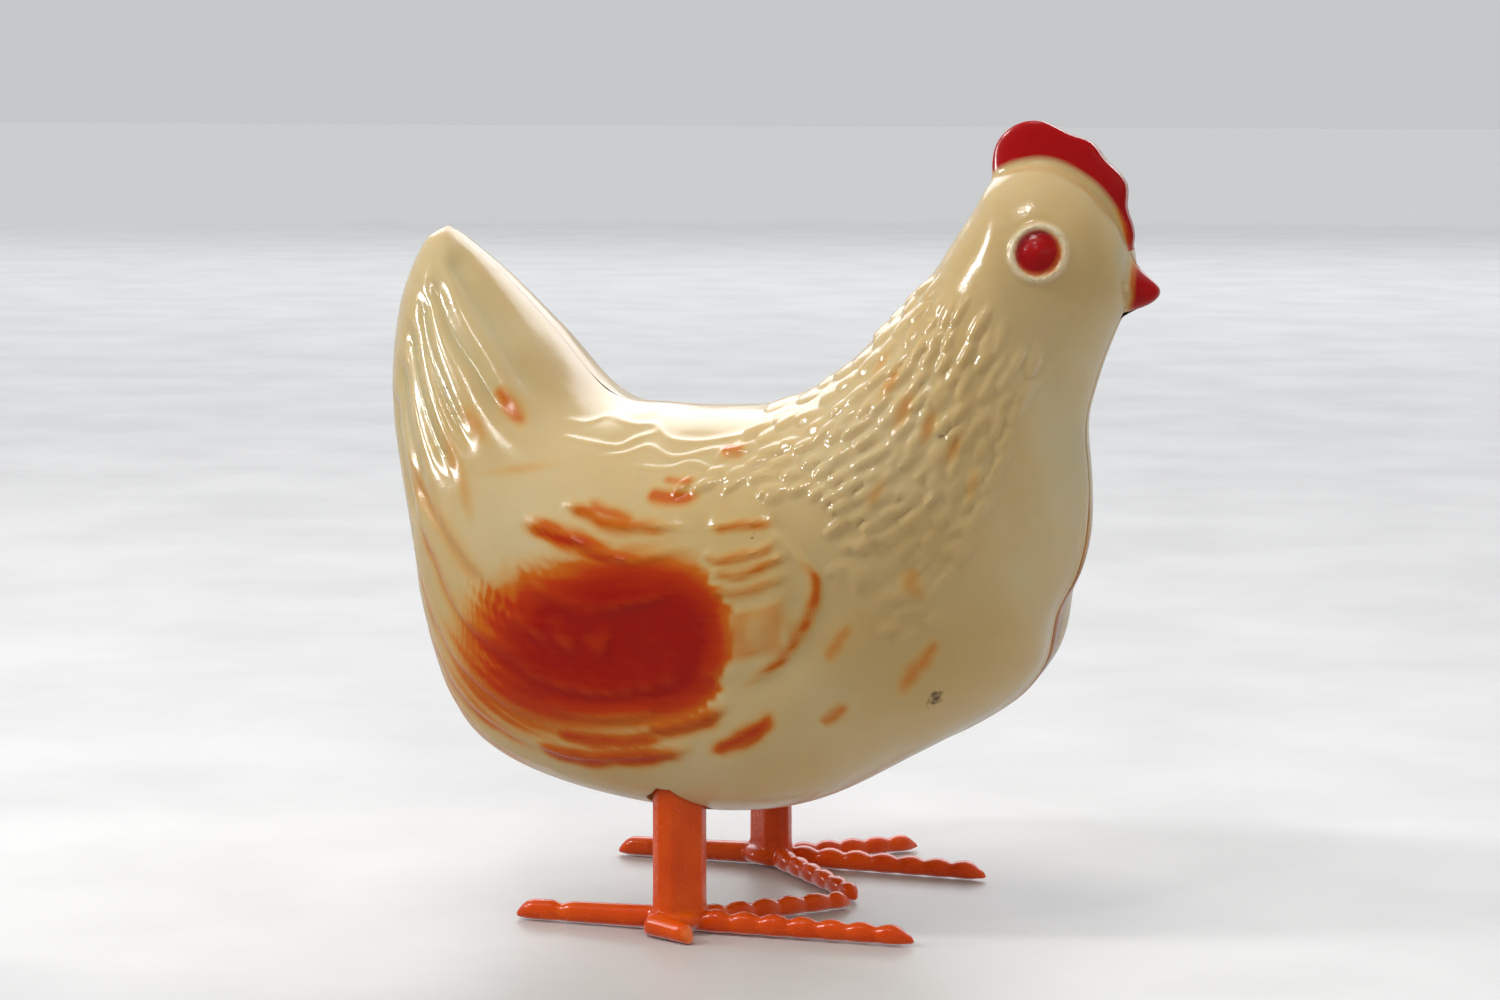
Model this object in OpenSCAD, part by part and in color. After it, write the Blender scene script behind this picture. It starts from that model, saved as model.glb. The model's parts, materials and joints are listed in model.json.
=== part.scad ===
// Press-down egg-laying toy hen.
// The hollow body slides down over two legs. A yoke joins the legs inside and works a two-step
// gate in a sloping chute, so each press lets one round egg drop from the belly hole.
// Frame: +X is the way the hen faces, +Y its left side, +Z up. The origin is on the floor,
// midway between the two legs.

/* [Body] */
// Length of the body from the tail's rear to the front of the breast
body_long = 128; // [106:1:154]
// Height of the body from the belly to the top of the head
body_tall = 113.3; // [94:0.1:136]
// Width of the body across its flanks
body_wide = 75; // [68:1:92]
// Height of the belly above the floor when the hen stands up
belly_up = 19.8; // [16.8:0.1:24]
// Thickness of the shell
wall = 1.6; // [1.2:0.1:2.2]

/* [Head] */
// Thickness of the comb, both halves together
comb_thick = 5; // [3:0.5:7]
// Height of the comb above the skull
comb_high = 7; // [4:0.5:9]
// How far the beak stands out from the face
beak_long = 5.6; // [3:0.2:8]
// Diameter of the raised ring round the eye
eye_d = 9.8; // [7:0.2:12]

/* [Legs and feet] */
// Distance from the widest line of the flank in to the leg's axis
leg_inset = 10.5; // [9:0.5:13]
// Longer side of the leg's eight-sided section
leg_broad = 9.4; // [7:0.2:10]
// Shorter side of the leg's section
leg_thin = 5.8; // [5.2:0.2:7]
// Clearance all round the leg where it passes through the belly
leg_gap = 0.8; // [0.5:0.1:1.2]
// Length of the middle toe from the leg's axis
mid_toe = 42; // [34:1:50]
// Gap between the tips of the two inner toes, which nearly meet
toe_gap = 1; // [0.6:0.1:4]
// Length of the outer toe from the leg's axis
outer_toe = 31; // [25:1:37]
// Length of the hind toe from the leg's axis
hind_toe = 30.5; // [25:0.5:37]
// Length of the right foot's outer toe, which is broken off short
stub_toe = 8; // [7:0.5:20]
// Width and height of a toe
toe_thick = 3.3; // [2.6:0.1:4]
// Spacing of the toe's knuckles
knuckle = 5.2; // [4:0.1:6.5]

/* [Egg gate] */
// Diameter of the egg
egg_d = 16; // [13:0.5:19.5]
// Clearance between the egg and each side of the chute
egg_gap = 1; // [0.6:0.1:1.4]
// Distance the body sinks when it is pressed
press = 11; // [9:0.5:13.2]
// Slope of the chute in degrees
chute_slope = 10; // [7:1:12]
// Thickness of the chute's floor and sides
chute_wall = 1.6; // [1.2:0.1:2]
// Thickness of the yoke's bar
yoke_thick = 6; // [5:0.5:7.5]

/* [Springs and pins] */
// Height left in each spring beyond its closed coils when the hen is pressed right down
spring_spare = 2.6; // [1:0.2:5]
// Mean radius of the spring's coil
coil_r = 3.6; // [3:0.1:4.3]
// Diameter of the spring's wire
wire_d = 0.8; // [0.6:0.1:0.9]
// Turns in each spring
coil_turns = 7; // [5:1:8]
// Radius of the steel cross pins
pin_r = 0.8; // [0.6:0.1:1]
// Radius of the pegs that line up the two shell halves and hold the chute
peg_r = 1.3; // [0.9:0.1:1.5]
// Clearance between a peg and its hole
peg_gap = 0.06; // [0.03:0.01:0.1]

/* [Hidden] */
$fn = 48;

CREAM = [0.87, 0.78, 0.60];
ORANGE = [0.85, 0.30, 0.08];
STEEL = [0.62, 0.62, 0.64];

// Clearance that keeps moving pieces apart
loose = 0.6;

// ---- the body's shape ----------------------------------------------------------------
// The hen is lofted from its tail to its face through ribs. Each rib hangs between a point
// of the back line and a point of the belly line. Both lines are drawn as shares of
// body_long and body_tall, x from the leg's axis and z from the belly.
BACK = [[-0.416, 0.890], [-0.390, 0.870], [-0.336, 0.820], [-0.255, 0.729], [-0.172, 0.630],
        [-0.083, 0.615], [-0.000, 0.613], [0.083, 0.623], [0.156, 0.661], [0.232, 0.739],
        [0.298, 0.824], [0.328, 0.875], [0.357, 0.926], [0.391, 0.981], [0.454, 0.998],
        [0.514, 0.966], [0.553, 0.911], [0.568, 0.867]];
BELLY = [[-0.416, 0.890], [-0.449, 0.859], [-0.483, 0.754], [-0.488, 0.602], [-0.454, 0.430],
         [-0.399, 0.215], [-0.306, 0.076], [-0.100, 0.011], [0.125, 0.005], [0.304, 0.091],
         [0.455, 0.209], [0.487, 0.315], [0.509, 0.425], [0.501, 0.582], [0.519, 0.665],
         [0.545, 0.744], [0.569, 0.794], [0.568, 0.867]];
// Half width of each rib as a share of half the body's width
HALF_W = [0.00, 0.15, 0.33, 0.54, 0.75, 0.90, 0.98, 1.00, 0.97,
          0.87, 0.72, 0.64, 0.56, 0.46, 0.40, 0.34, 0.22, 0.00];
// Squareness of each rib's lower half: 2 is an ellipse, more is boxier
LOW_POWER = [2, 1.9, 1.8, 1.85, 2, 2.4, 3.2, 4.2, 4, 2.9, 2.3, 2.2, 2.1, 2, 2, 2, 2, 2];
TOP_POWER = 2.15;
half_w = body_wide / 2;

function knot(list, i) =
    i < 0 ? 2 * list[0] - list[1] :
    i > len(list) - 1 ? 2 * list[len(list) - 1] - list[len(list) - 2] : list[i];
// Smooth curve through the points of a list, with t counted in points
function along(list, t) =
    let (i = min(floor(t), len(list) - 2), u = t - i,
         a = knot(list, i - 1), b = knot(list, i), c = knot(list, i + 1), d = knot(list, i + 2))
    0.5 * (2 * b + (c - a) * u + (2 * a - 5 * b + 4 * c - d) * u * u
           + (3 * b - a - 3 * c + d) * u * u * u);
function place(p) = [p[0] * body_long, belly_up + p[1] * body_tall];

// ---- where the working parts sit -----------------------------------------------------
leg_y = half_w - leg_inset;

// The chute slopes down towards the belly hole. Its lip is where the egg leaves it. It is
// long enough for two eggs, and ends before the belly curves up behind it.
lip_x = 2;
lip_clear = 4;
lip_z = belly_up + wall + lip_clear;
rise_start = place(BELLY[6]);
rise_end = place(BELLY[5]);
belly_rise = (rise_end[1] - rise_start[1]) / (rise_start[0] - rise_end[0]);
belly_skin = wall * sqrt(1 + belly_rise * belly_rise) + loose + 1;
chute_room = (lip_z - chute_wall - rise_start[1] + belly_rise * (lip_x - rise_start[0])
              - belly_skin) / (belly_rise - tan(chute_slope));
chute_long = min(2.3 * egg_d, chute_room);
back_x = lip_x - chute_long;
chute_in = egg_d / 2 + egg_gap;
chute_out = chute_in + chute_wall;
side_high = egg_d - 2;
hole_r = egg_d / 2 + 1.8;
hole_x = lip_x + hole_r - 1.7;
function floor_z(x) = lip_z + (lip_x - x) * tan(chute_slope);

// The gate: the finger stops the first egg from above, and the lugs stop the second
// from both sides while the body is down. They are one egg apart. The finger's tip is
// clear of the egg once the body has sunk, and the lugs are under the eggs before it sinks.
finger_x = lip_x - 1.8;
finger_thick = 2.8;
finger_wide = 6;
finger_low = floor_z(finger_x) + egg_d + loose - press;
lug_x = finger_x - 0.97 * egg_d;
lug_thick = 2.6;
lug_reach = egg_d / 2 - 2.4;
lug_high = 5;
lug_top = 1.2;
cheek_in = chute_out + loose;
cheek_thick = 2;

// The yoke's bar passes over the eggs, even over those that wait behind it
bar_half = 5.4;
yoke_z = floor_z(-bar_half) + egg_d + 2.93;
yoke_top = yoke_z + yoke_thick;
// Its round ends stay clear of the flanks even when the body is pressed down
flank_mid = 0.31;
flank_reach = 0.303;
flank_share = (yoke_top + press - belly_up - flank_mid * body_tall)
              / (flank_reach * body_tall - wall);
flank_room = (half_w - wall) * pow(1 - pow(max(flank_share, 0), TOP_POWER), 1 / TOP_POWER);
end_reach = min(bar_half, flank_room - loose - leg_y);
tenon_r = 2.3;
tenon_fit = 0.05;
pin_z = yoke_z + yoke_thick / 2;
pin_fit = 0.03;

// Each spring stands on the yoke and pushes up a shelf inside the shell
spring_high = press + (coil_turns + 1) * wire_d + spring_spare;
spring_y = leg_y - 10;
shelf_z = yoke_top + spring_high;
shelf_thick = 2;
shelf_long = 14;
shelf_lip = 6;

// Where the chute hangs on pegs from both shells, and how thick those bosses are
boss_r = 2.5;
peg_in = 1.3;
peg_root = 2;
peg_long = 3;
front_peg_x = 0.6 * lug_x;
rear_peg_x = lip_x - 0.82 * chute_long;

// ---- the body's skin -----------------------------------------------------------------
LAST = len(BACK) - 1;
RIBS = 40;
RIB_STEPS = 14;

// A point of the right side's skin on rib t, at angle a from the back line round to the
// belly line, `inset` under the surface
function skin_point(t, a, inset) =
    let (top = place(along(BACK, t)), low = place(along(BELLY, t)),
         mid = (top + low) / 2, reach = norm(top - low) / 2,
         way = (top - low) / (2 * reach),
         n = a <= 90 ? TOP_POWER : along(LOW_POWER, t),
         rise = max(reach - inset, 0) * sign(cos(a)) * pow(abs(cos(a)), 2 / n),
         side = max(along(HALF_W, t) * half_w - inset, 0) * pow(abs(sin(a)), 2 / n))
    [mid[0] + way[0] * rise, -side, mid[1] + way[1] * rise];
function tip_point(t) =
    let (p = (place(along(BACK, t)) + place(along(BELLY, t))) / 2)
    [p[0], 0, p[1]];
// Ribs stand closer together near the tail's tip and the face, where the shape closes
function rib_t(i, lo, hi) =
    let (u = i / RIBS)
    lo + (hi - lo) * (0.7 * u + 0.3 * (1 - cos(180 * u)) / 2);
function skin(lo, hi, inset) = concat(
    [tip_point(lo)],
    [for (i = [1 : RIBS - 1], k = [0 : RIB_STEPS])
        skin_point(rib_t(i, lo, hi), 180 * k / RIB_STEPS, inset)],
    [tip_point(hi)]);
SKIN_COUNT = 2 + (RIBS - 1) * (RIB_STEPS + 1);
// Number of the skin's point k on rib i; the first and last ribs are one point each
function spot(i, k) =
    i == 0 ? 0 : i == RIBS ? SKIN_COUNT - 1 : 1 + (i - 1) * (RIB_STEPS + 1) + k;
function skin_faces(base) =
    [for (i = [0 : RIBS - 1], k = [0 : RIB_STEPS - 1])
        let (a = base + spot(i, k), b = base + spot(i, k + 1),
             c = base + spot(i + 1, k), d = base + spot(i + 1, k + 1))
        each (i == 0 ? [[a, c, d]] : i == RIBS - 1 ? [[a, c, b]] : [[a, c, d], [a, d, b]])];
function turned(faces) = [for (f = faces) [for (i = [len(f) - 1 : -1 : 0]) f[i]]];

// Right half of the body as a full solid, `inset` under the skin and flat on the median plane
module half_solid(inset, lo, hi) {
    seam = concat([for (i = [0 : RIBS]) spot(i, 0)],
                  [for (i = [RIBS - 1 : -1 : 1]) spot(i, RIB_STEPS)]);
    polyhedron(skin(lo, hi, inset), concat(turned([seam]), skin_faces(0)), convexity = 8);
}

// Right half of the hollow body: outer skin, inner skin and the flat rim between them
module half_wall() {
    rim = [for (i = [0 : RIBS - 1], k = [0, RIB_STEPS])
        let (a = spot(i, k), b = spot(i + 1, k), c = a + SKIN_COUNT, d = b + SKIN_COUNT,
             pair = [[a, b, d], [a, d, c]])
        each (k == 0 ? turned(pair) : pair)];
    polyhedron(concat(skin(0, LAST, 0), skin(1, LAST - 0.8, wall)),
               concat(skin_faces(0), turned(skin_faces(SKIN_COUNT)), rim), convexity = 10);
}

// ---- what is moulded on the shells ---------------------------------------------------
// The comb's rim as [t along the back line, height as a share of comb_high]
COMB = [[12.75, -0.05], [12.92, 0.50], [13.25, 0.95], [13.65, 1.03], [14.10, 0.84],
        [14.45, 0.70], [14.80, 0.80], [15.15, 0.66], [15.45, 0.46], [15.72, 0.50],
        [15.95, 0.28], [16.20, -0.05]];
COMB_STEPS = 4;
function off_back(t, h) =
    let (p = place(along(BACK, t)), q = place(along(BACK, t + 0.02)), d = (q - p) / norm(q - p))
    p + h * [-d[1], d[0]];
module comb_half() {
    ends = [COMB[0][0], COMB[len(COMB) - 1][0]];
    rim = [for (s = [0 : 1 / COMB_STEPS : len(COMB) - 1])
        let (c = along(COMB, s)) off_back(c[0], c[1] * comb_high)];
    root = [for (t = [ends[1] : -0.3 : ends[0]]) off_back(t, -wall / 2)];
    rotate([90, 0, 0]) linear_extrude(comb_thick / 2) polygon(concat(rim, root));
}

// A short round-tipped cone in front of the face, split by the median plane
beak_base_r = 4.3;
beak_tip_r = 0.8;
beak_sunk = 1.3;
beak_drop = 94;
module beak_half() {
    root = place(BELLY[16]) + [-beak_sunk, 1.4];
    long = beak_long + beak_sunk - 0.8;
    intersection() {
        translate([root[0], 0, root[1]]) rotate([0, beak_drop, 0]) {
            cylinder(r1 = beak_base_r, r2 = beak_tip_r, h = long);
            translate([0, 0, long]) sphere(beak_tip_r);
        }
        translate([root[0] - beak_base_r, -2 * beak_base_r, root[1] - 2 * beak_base_r])
            cube([long + 3 * beak_base_r, 2 * beak_base_r, 4 * beak_base_r]);
    }
}

// Rib and angle at which the eye sits on the head
eye_rib = 13.75;
eye_angle = 77;
eye_proud = 0.5;
module eye_ring() {
    p = skin_point(eye_rib, eye_angle, 0);
    translate([p[0], p[1] + wall * 0.7, p[2]]) rotate([90, 0, 0]) {
        cylinder(r = eye_d / 2, h = wall * 0.7 + eye_proud);
        cylinder(r = eye_d * 0.34, h = wall * 0.7 + 2 * eye_proud);
    }
}

// Bosses that line up the halves, as shares of body_long and body_tall
SEAM_BOSSES = [[0.367, 0.270], [-0.380, 0.650], [0.475, 0.800]];
CHUTE_PEGS = [front_peg_x, rear_peg_x];
function chute_peg_z(x) = floor_z(x) + side_high / 2;
module along_y(x, z, r, from, to) {
    translate([x, from, z]) rotate([-90, 0, 0]) cylinder(r = r, h = to - from);
}
module inner_bosses() {
    intersection() {
        half_solid(wall / 2, 0.6, LAST - 0.6);
        union() {
            for (s = SEAM_BOSSES) along_y(place(s)[0], place(s)[1], boss_r, -half_w, 0);
            for (x = CHUTE_PEGS)
                along_y(x, chute_peg_z(x), boss_r, -half_w, -chute_out - loose / 2);
            translate([-shelf_long / 2, -half_w, shelf_z])
                cube([shelf_long, half_w - spring_y + shelf_lip, shelf_thick]);
            translate([-wall / 2, -half_w, shelf_z])
                cube([wall, half_w - spring_y + shelf_lip, body_tall]);
        }
    }
    for (x = CHUTE_PEGS)
        along_y(x, chute_peg_z(x), peg_r, -chute_out - peg_root, -chute_out + peg_in);
}

function leg_section(gap) =
    let (a = leg_broad / 2 + gap, b = leg_thin / 2 + gap, c = leg_thin * 0.3)
    [[a, b - c], [a - c, b], [c - a, b], [-a, b - c], [-a, c - b], [c - a, -b], [a - c, -b],
     [a, c - b]];
// The leg's broad side runs from outside rear to inside front
leg_turn = 45;
module right_leg_shape(gap, from, to) {
    translate([0, -leg_y, from]) rotate(leg_turn)
        linear_extrude(to - from) polygon(leg_section(gap));
}

module half_shell() {
    difference() {
        union() {
            half_wall();
            comb_half();
            beak_half();
            eye_ring();
            inner_bosses();
        }
        right_leg_shape(leg_gap, belly_up - 6, yoke_z - 2);
        translate([hole_x, 0, belly_up - 3]) cylinder(r = hole_r, h = 9);
    }
}
module right_shell() {
    color(CREAM) {
        half_shell();
        for (s = SEAM_BOSSES)
            along_y(place(s)[0], place(s)[1], peg_r, -peg_root, peg_long);
    }
}
module left_shell() {
    color(CREAM) difference() {
        mirror([0, 1, 0]) half_shell();
        for (s = SEAM_BOSSES)
            along_y(place(s)[0], place(s)[1], peg_r + peg_gap, -1, peg_long + 0.3);
    }
}

// ---- legs ----------------------------------------------------------------------------
// Direction of each toe from straight ahead, turned towards the hen's middle
mid_turn = 1.5;
inner_turn = 46.8;
outer_turn = -41.5;
hind_turn = 180;
tip_w = toe_thick * 0.3;
tip_long = 2.5;
inner_toe = (leg_y - toe_gap / 2 - tip_w) / sin(inner_turn);
KNUCKLE_STEPS = 6;

// Height of the toe's upper edge at s: a row of knuckles that get lower towards the tip
function toe_top(s, long, beads) =
    toe_thick * (1 - 0.32 * s / long) * (1 - beads * (1 - abs(cos(180 * s / knuckle))));
module toe(long, beads, cut_off = false) {
    end = cut_off ? long : long - tip_long;
    step = knuckle / KNUCKLE_STEPS;
    top = [for (s = [0 : step : end]) [s, toe_top(s, long, beads)]];
    side = concat([[0, 0]], [[end, 0]], cut_off ? [[end, toe_top(end, long, beads)]] :
                  [[long, toe_thick * 0.35], [end, toe_top(end, long, beads)]],
                  [for (i = [len(top) - 1 : -1 : 0]) if (top[i][0] < end) top[i]]);
    w = toe_thick / 2;
    plan = cut_off ? [[0, -w], [end, -w], [end, w], [0, w]] :
        [[0, -w], [end, -tip_w], [long, -tip_w / 2], [long, tip_w / 2], [end, tip_w], [0, w]];
    intersection() {
        translate([0, w + 1, 0]) rotate([90, 0, 0]) linear_extrude(2 * w + 2) polygon(side);
        translate([0, 0, -1]) linear_extrude(toe_thick + 2) polygon(plan);
    }
}
module right_leg_solid(outer_long, broken) {
    difference() {
        union() {
            right_leg_shape(0, 0, yoke_z);
            translate([0, -leg_y, yoke_z - 1]) cylinder(r = tenon_r, h = yoke_thick + 1);
            translate([0, -leg_y, 0]) {
                rotate(mid_turn) toe(mid_toe, 0.2);
                rotate(inner_turn) toe(inner_toe, 0.2);
                rotate(outer_turn) toe(outer_long, 0.2, broken);
                rotate(hind_turn) toe(hind_toe, 0.04);
            }
        }
        translate([-bar_half, -leg_y, pin_z]) rotate([0, 90, 0])
            cylinder(r = pin_r + pin_fit, h = 2 * bar_half);
    }
}
module right_leg() {
    color(ORANGE) right_leg_solid(stub_toe, true);
}
module left_leg() {
    color(ORANGE) mirror([0, 1, 0]) right_leg_solid(outer_toe, false);
}

// ---- the yoke that joins the legs and works the gate ----------------------------------
module yoke_half() {
    cheek_low = floor_z(lug_x) + lug_top - lug_high;
    translate([-bar_half, -leg_y, yoke_z]) cube([2 * bar_half, leg_y, yoke_thick]);
    translate([0, -leg_y, yoke_z]) scale([1, end_reach / bar_half, 1])
        cylinder(r = bar_half, h = yoke_thick);
    translate([0, -spring_y, yoke_top - 1]) cylinder(r = coil_r - wire_d / 2 - 0.6, h = 4);
    translate([lug_x - lug_thick / 2, -cheek_in - cheek_thick, yoke_z])
        cube([lug_thick / 2 - lug_x, cheek_thick, yoke_thick]);
    translate([lug_x - lug_thick / 2, -cheek_in - cheek_thick, cheek_low])
        cube([lug_thick, cheek_thick, yoke_top - cheek_low]);
    translate([lug_x - lug_thick / 2, -cheek_in - cheek_thick, cheek_low])
        cube([lug_thick, cheek_in + cheek_thick - lug_reach, lug_high]);
}
module leg_yoke() {
    color(ORANGE) difference() {
        union() {
            yoke_half();
            mirror([0, 1, 0]) yoke_half();
            translate([finger_x, -finger_wide / 2, finger_low])
                cube([finger_thick, finger_wide, yoke_z + 1 - finger_low]);
        }
        for (y = [-leg_y, leg_y]) {
            translate([0, y, yoke_z - 1]) cylinder(r = tenon_r + tenon_fit, h = yoke_thick + 2);
            translate([-bar_half - 1, y, pin_z]) rotate([0, 90, 0])
                cylinder(r = pin_r + pin_fit, h = 2 * bar_half + 2);
        }
    }
}
module yoke_pins() {
    color(STEEL) for (y = [-leg_y, leg_y])
        translate([0.5 - bar_half, y, pin_z]) rotate([0, 90, 0])
            cylinder(r = pin_r, h = 2 * bar_half - 1);
}

// ---- the chute -----------------------------------------------------------------------
deck_reach = 10;
deck_tilt = 16;
fence_high = 12;
module egg_chute() {
    rise = chute_long * tan(chute_slope);
    above = 4 * egg_d;
    slot = lug_thick + 2 * loose;
    deck_x = lug_x - slot / 2 - 2;
    color(CREAM) difference() {
        union() {
            // the floor and sides are one sloping channel
            rotate([90, 0, 0]) translate([0, 0, -chute_out]) linear_extrude(2 * chute_out)
                polygon([[lip_x, lip_z - chute_wall], [lip_x, lip_z + side_high],
                         [back_x, lip_z + rise + side_high], [back_x, lip_z + rise - chute_wall]]);
            // sloping decks lead eggs into the channel, with a fence in front
            for (side = [-1, 1]) scale([1, side, 1])
                translate([back_x + 2, chute_in, floor_z(back_x) + side_high - 3])
                    rotate([deck_tilt, 0, 0]) {
                        cube([deck_x - back_x - 2, deck_reach, chute_wall]);
                        translate([deck_x - back_x - 2 - chute_wall, 0, 0])
                            cube([chute_wall, deck_reach, fence_high]);
                    }
        }
        rotate([90, 0, 0]) translate([0, 0, -chute_in]) linear_extrude(2 * chute_in)
            polygon([[lip_x + 1, floor_z(lip_x + 1)], [lip_x + 1, lip_z + above],
                     [back_x - 1, lip_z + above], [back_x - 1, floor_z(back_x - 1)]]);
        for (side = [-1, 1]) {
            translate([lug_x - slot / 2, side > 0 ? lug_reach - loose : -chute_out - 1, 0])
                cube([slot, chute_out + 1 - lug_reach + loose, lip_z + above]);
            for (x = CHUTE_PEGS)
                along_y(x, chute_peg_z(x), peg_r + peg_gap, side > 0 ? chute_in - 1 : -chute_out - 1,
                        side > 0 ? chute_out + 1 : 1 - chute_in);
        }
    }
}

// ---- return springs ------------------------------------------------------------------
COIL_STEPS = 18;
WIRE_SIDES = 6;
// Height of the wire's centre after `turn` turns: a closed turn at each end
function coil_z(turn) =
    let (shut = wire_d * 1.03, open = (spring_high - wire_d - 2 * shut - 0.04) / (coil_turns - 2))
    0.02 + wire_d / 2 + shut * min(turn, 1) + open * min(max(turn - 1, 0), coil_turns - 2)
        + shut * max(turn - coil_turns + 1, 0);
module spring() {
    count = coil_turns * COIL_STEPS;
    points = [for (i = [0 : count], k = [0 : WIRE_SIDES - 1])
        let (a = 360 * i / COIL_STEPS, b = 360 * k / WIRE_SIDES + 90,
             r = coil_r + wire_d / 2 * cos(b))
        [r * cos(a), r * sin(a), coil_z(i / COIL_STEPS) + wire_d / 2 * sin(b)]];
    tube = [for (i = [0 : count - 1], k = [0 : WIRE_SIDES - 1])
        let (j = (k + 1) % WIRE_SIDES, a = i * WIRE_SIDES)
        each [[a + k, a + j, a + WIRE_SIDES + k], [a + j, a + WIRE_SIDES + j, a + WIRE_SIDES + k]]];
    caps = [[for (k = [WIRE_SIDES - 1 : -1 : 0]) k],
            [for (k = [0 : WIRE_SIDES - 1]) count * WIRE_SIDES + k]];
    polyhedron(points, concat(tube, caps), convexity = 6);
}
module right_spring() {
    color(STEEL) translate([0, -spring_y, yoke_top]) spring();
}
module left_spring() {
    color(STEEL) translate([0, spring_y, yoke_top]) spring();
}

right_shell();
left_shell();
right_leg();
left_leg();
leg_yoke();
egg_chute();
right_spring();
left_spring();
yoke_pins();
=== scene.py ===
# %% [markdown]
# # An egg-laying toy hen
#
# The toy is a hollow hen of cream polystyrene, moulded in two halves and glued along the
# middle, with red and orange blown on by airbrush. It slides down over two orange legs. The
# pieces that show are made here over the CAD frame: two shells, two legs, two springs. The
# yoke, the chute and the pins keep their CAD shape and get a finish.
#
# Sizes below are in millimetres, in the frame of the CAD: +X is the way the hen faces, +Y
# its left side, +Z up, with the origin on the floor between the legs.

# %% Load the frame
import json
import bpy
import numpy as np
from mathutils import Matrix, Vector

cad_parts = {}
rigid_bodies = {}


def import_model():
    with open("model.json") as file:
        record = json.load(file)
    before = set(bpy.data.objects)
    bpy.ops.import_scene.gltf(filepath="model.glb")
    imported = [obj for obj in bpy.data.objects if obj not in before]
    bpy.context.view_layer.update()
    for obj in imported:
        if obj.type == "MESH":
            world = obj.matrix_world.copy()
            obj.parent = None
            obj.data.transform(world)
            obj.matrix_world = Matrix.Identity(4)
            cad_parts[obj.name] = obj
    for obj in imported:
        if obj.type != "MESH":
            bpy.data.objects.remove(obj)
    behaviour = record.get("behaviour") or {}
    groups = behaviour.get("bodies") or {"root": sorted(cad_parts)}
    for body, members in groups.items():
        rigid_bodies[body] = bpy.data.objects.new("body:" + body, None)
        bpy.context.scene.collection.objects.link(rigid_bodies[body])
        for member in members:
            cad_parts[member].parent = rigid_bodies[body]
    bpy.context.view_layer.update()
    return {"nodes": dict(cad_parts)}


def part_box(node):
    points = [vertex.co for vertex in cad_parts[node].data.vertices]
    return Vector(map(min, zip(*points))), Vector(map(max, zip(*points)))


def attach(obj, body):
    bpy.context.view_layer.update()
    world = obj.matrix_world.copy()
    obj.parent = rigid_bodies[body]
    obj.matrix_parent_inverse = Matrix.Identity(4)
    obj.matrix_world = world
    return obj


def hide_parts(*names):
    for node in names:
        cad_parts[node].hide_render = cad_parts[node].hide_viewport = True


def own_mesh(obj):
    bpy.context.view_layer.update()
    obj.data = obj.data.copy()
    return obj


for stray in list(bpy.data.objects):
    bpy.data.objects.remove(stray)
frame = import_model()
MM = 0.001
print("CAD nodes:", sorted(frame["nodes"]))

# %% [markdown]
# ## Places taken from the frame
#
# The legs' axes, the yoke's top and the height of the springs are read from the CAD nodes'
# boxes, so the new pieces land where the frame wants them.

# %% Measure the frame
def box_mm(node):
    """Lower and upper corner of a CAD node's box, in millimetres."""
    return [np.array(corner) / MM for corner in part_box(node)]


PIN_R = 0.8
YOKE_THICK = 6.0
LEG_Y = box_mm("yoke_pins")[1][1] - PIN_R
YOKE_TOP = box_mm("right_leg")[1][2]
YOKE_LOW = YOKE_TOP - YOKE_THICK
spring_lo, spring_hi = box_mm("right_spring")
SPRING_Y = -(spring_lo[1] + spring_hi[1]) / 2
print("leg axis %.2f, yoke top %.2f, springs at y %.2f, z %.2f to %.2f"
      % (LEG_Y, YOKE_TOP, SPRING_Y, spring_lo[2], spring_hi[2]))

# %% [markdown]
# ## Small tools for the meshes
#
# Every new piece starts as numpy arrays. One function puts points and faces into a mesh and
# turns them the right way out: the signed volume of a closed mesh, the sum of the small
# tetrahedra between its triangles and the origin, is positive when the faces look outwards.


# %% Points and faces into a piece
def fans(faces):
    """Splits four-sided faces into triangles and keeps three-sided ones."""
    quads = faces[faces[:, 3] >= 0]
    tris = faces[faces[:, 3] < 0][:, :3]
    return np.concatenate([quads[:, [0, 1, 2]], quads[:, [0, 2, 3]], tris])


def signed_volume(points, faces):
    """A sixth of the sum of a . (b x c) over the triangles a, b, c."""
    tri = points[fans(faces)]
    return float((tri[:, 0] * np.cross(tri[:, 1], tri[:, 2])).sum() / 6)


def turned(faces):
    """The same faces seen from the other side."""
    flipped = faces[:, [3, 2, 1, 0]]
    three = faces[:, 3] < 0
    flipped[three, :3] = faces[three][:, [2, 1, 0]]
    flipped[three, 3] = -1
    return flipped


def make_piece(name, points, faces, values=None):
    """A mesh object from points in millimetres and faces (a row ends in -1 for a triangle).

    values holds one number per point for each named attribute."""
    if signed_volume(points, faces) < 0:
        faces = turned(faces)
    mesh = bpy.data.meshes.new(name)
    mesh.from_pydata((points * MM).tolist(), [],
                     [row if row[3] >= 0 else row[:3] for row in faces.tolist()])
    for key, number in (values or {}).items():
        layer = mesh.attributes.new(key, "FLOAT", "POINT")
        layer.data.foreach_set("value", number.astype(np.float32))
    mesh.validate()
    piece = bpy.data.objects.new(name, mesh)
    bpy.context.scene.collection.objects.link(piece)
    return piece


def grid_faces(rows, cols, start=0, around=False):
    """Quads of a grid of rows x cols points. With around, the last column meets the first."""
    r, c = np.meshgrid(np.arange(rows - 1), np.arange(cols if around else cols - 1),
                       indexing="ij")
    c_next = (c + 1) % cols
    quad = np.stack([r * cols + c, r * cols + c_next, (r + 1) * cols + c_next,
                     (r + 1) * cols + c], -1)
    return start + quad.reshape(-1, 4)


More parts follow.
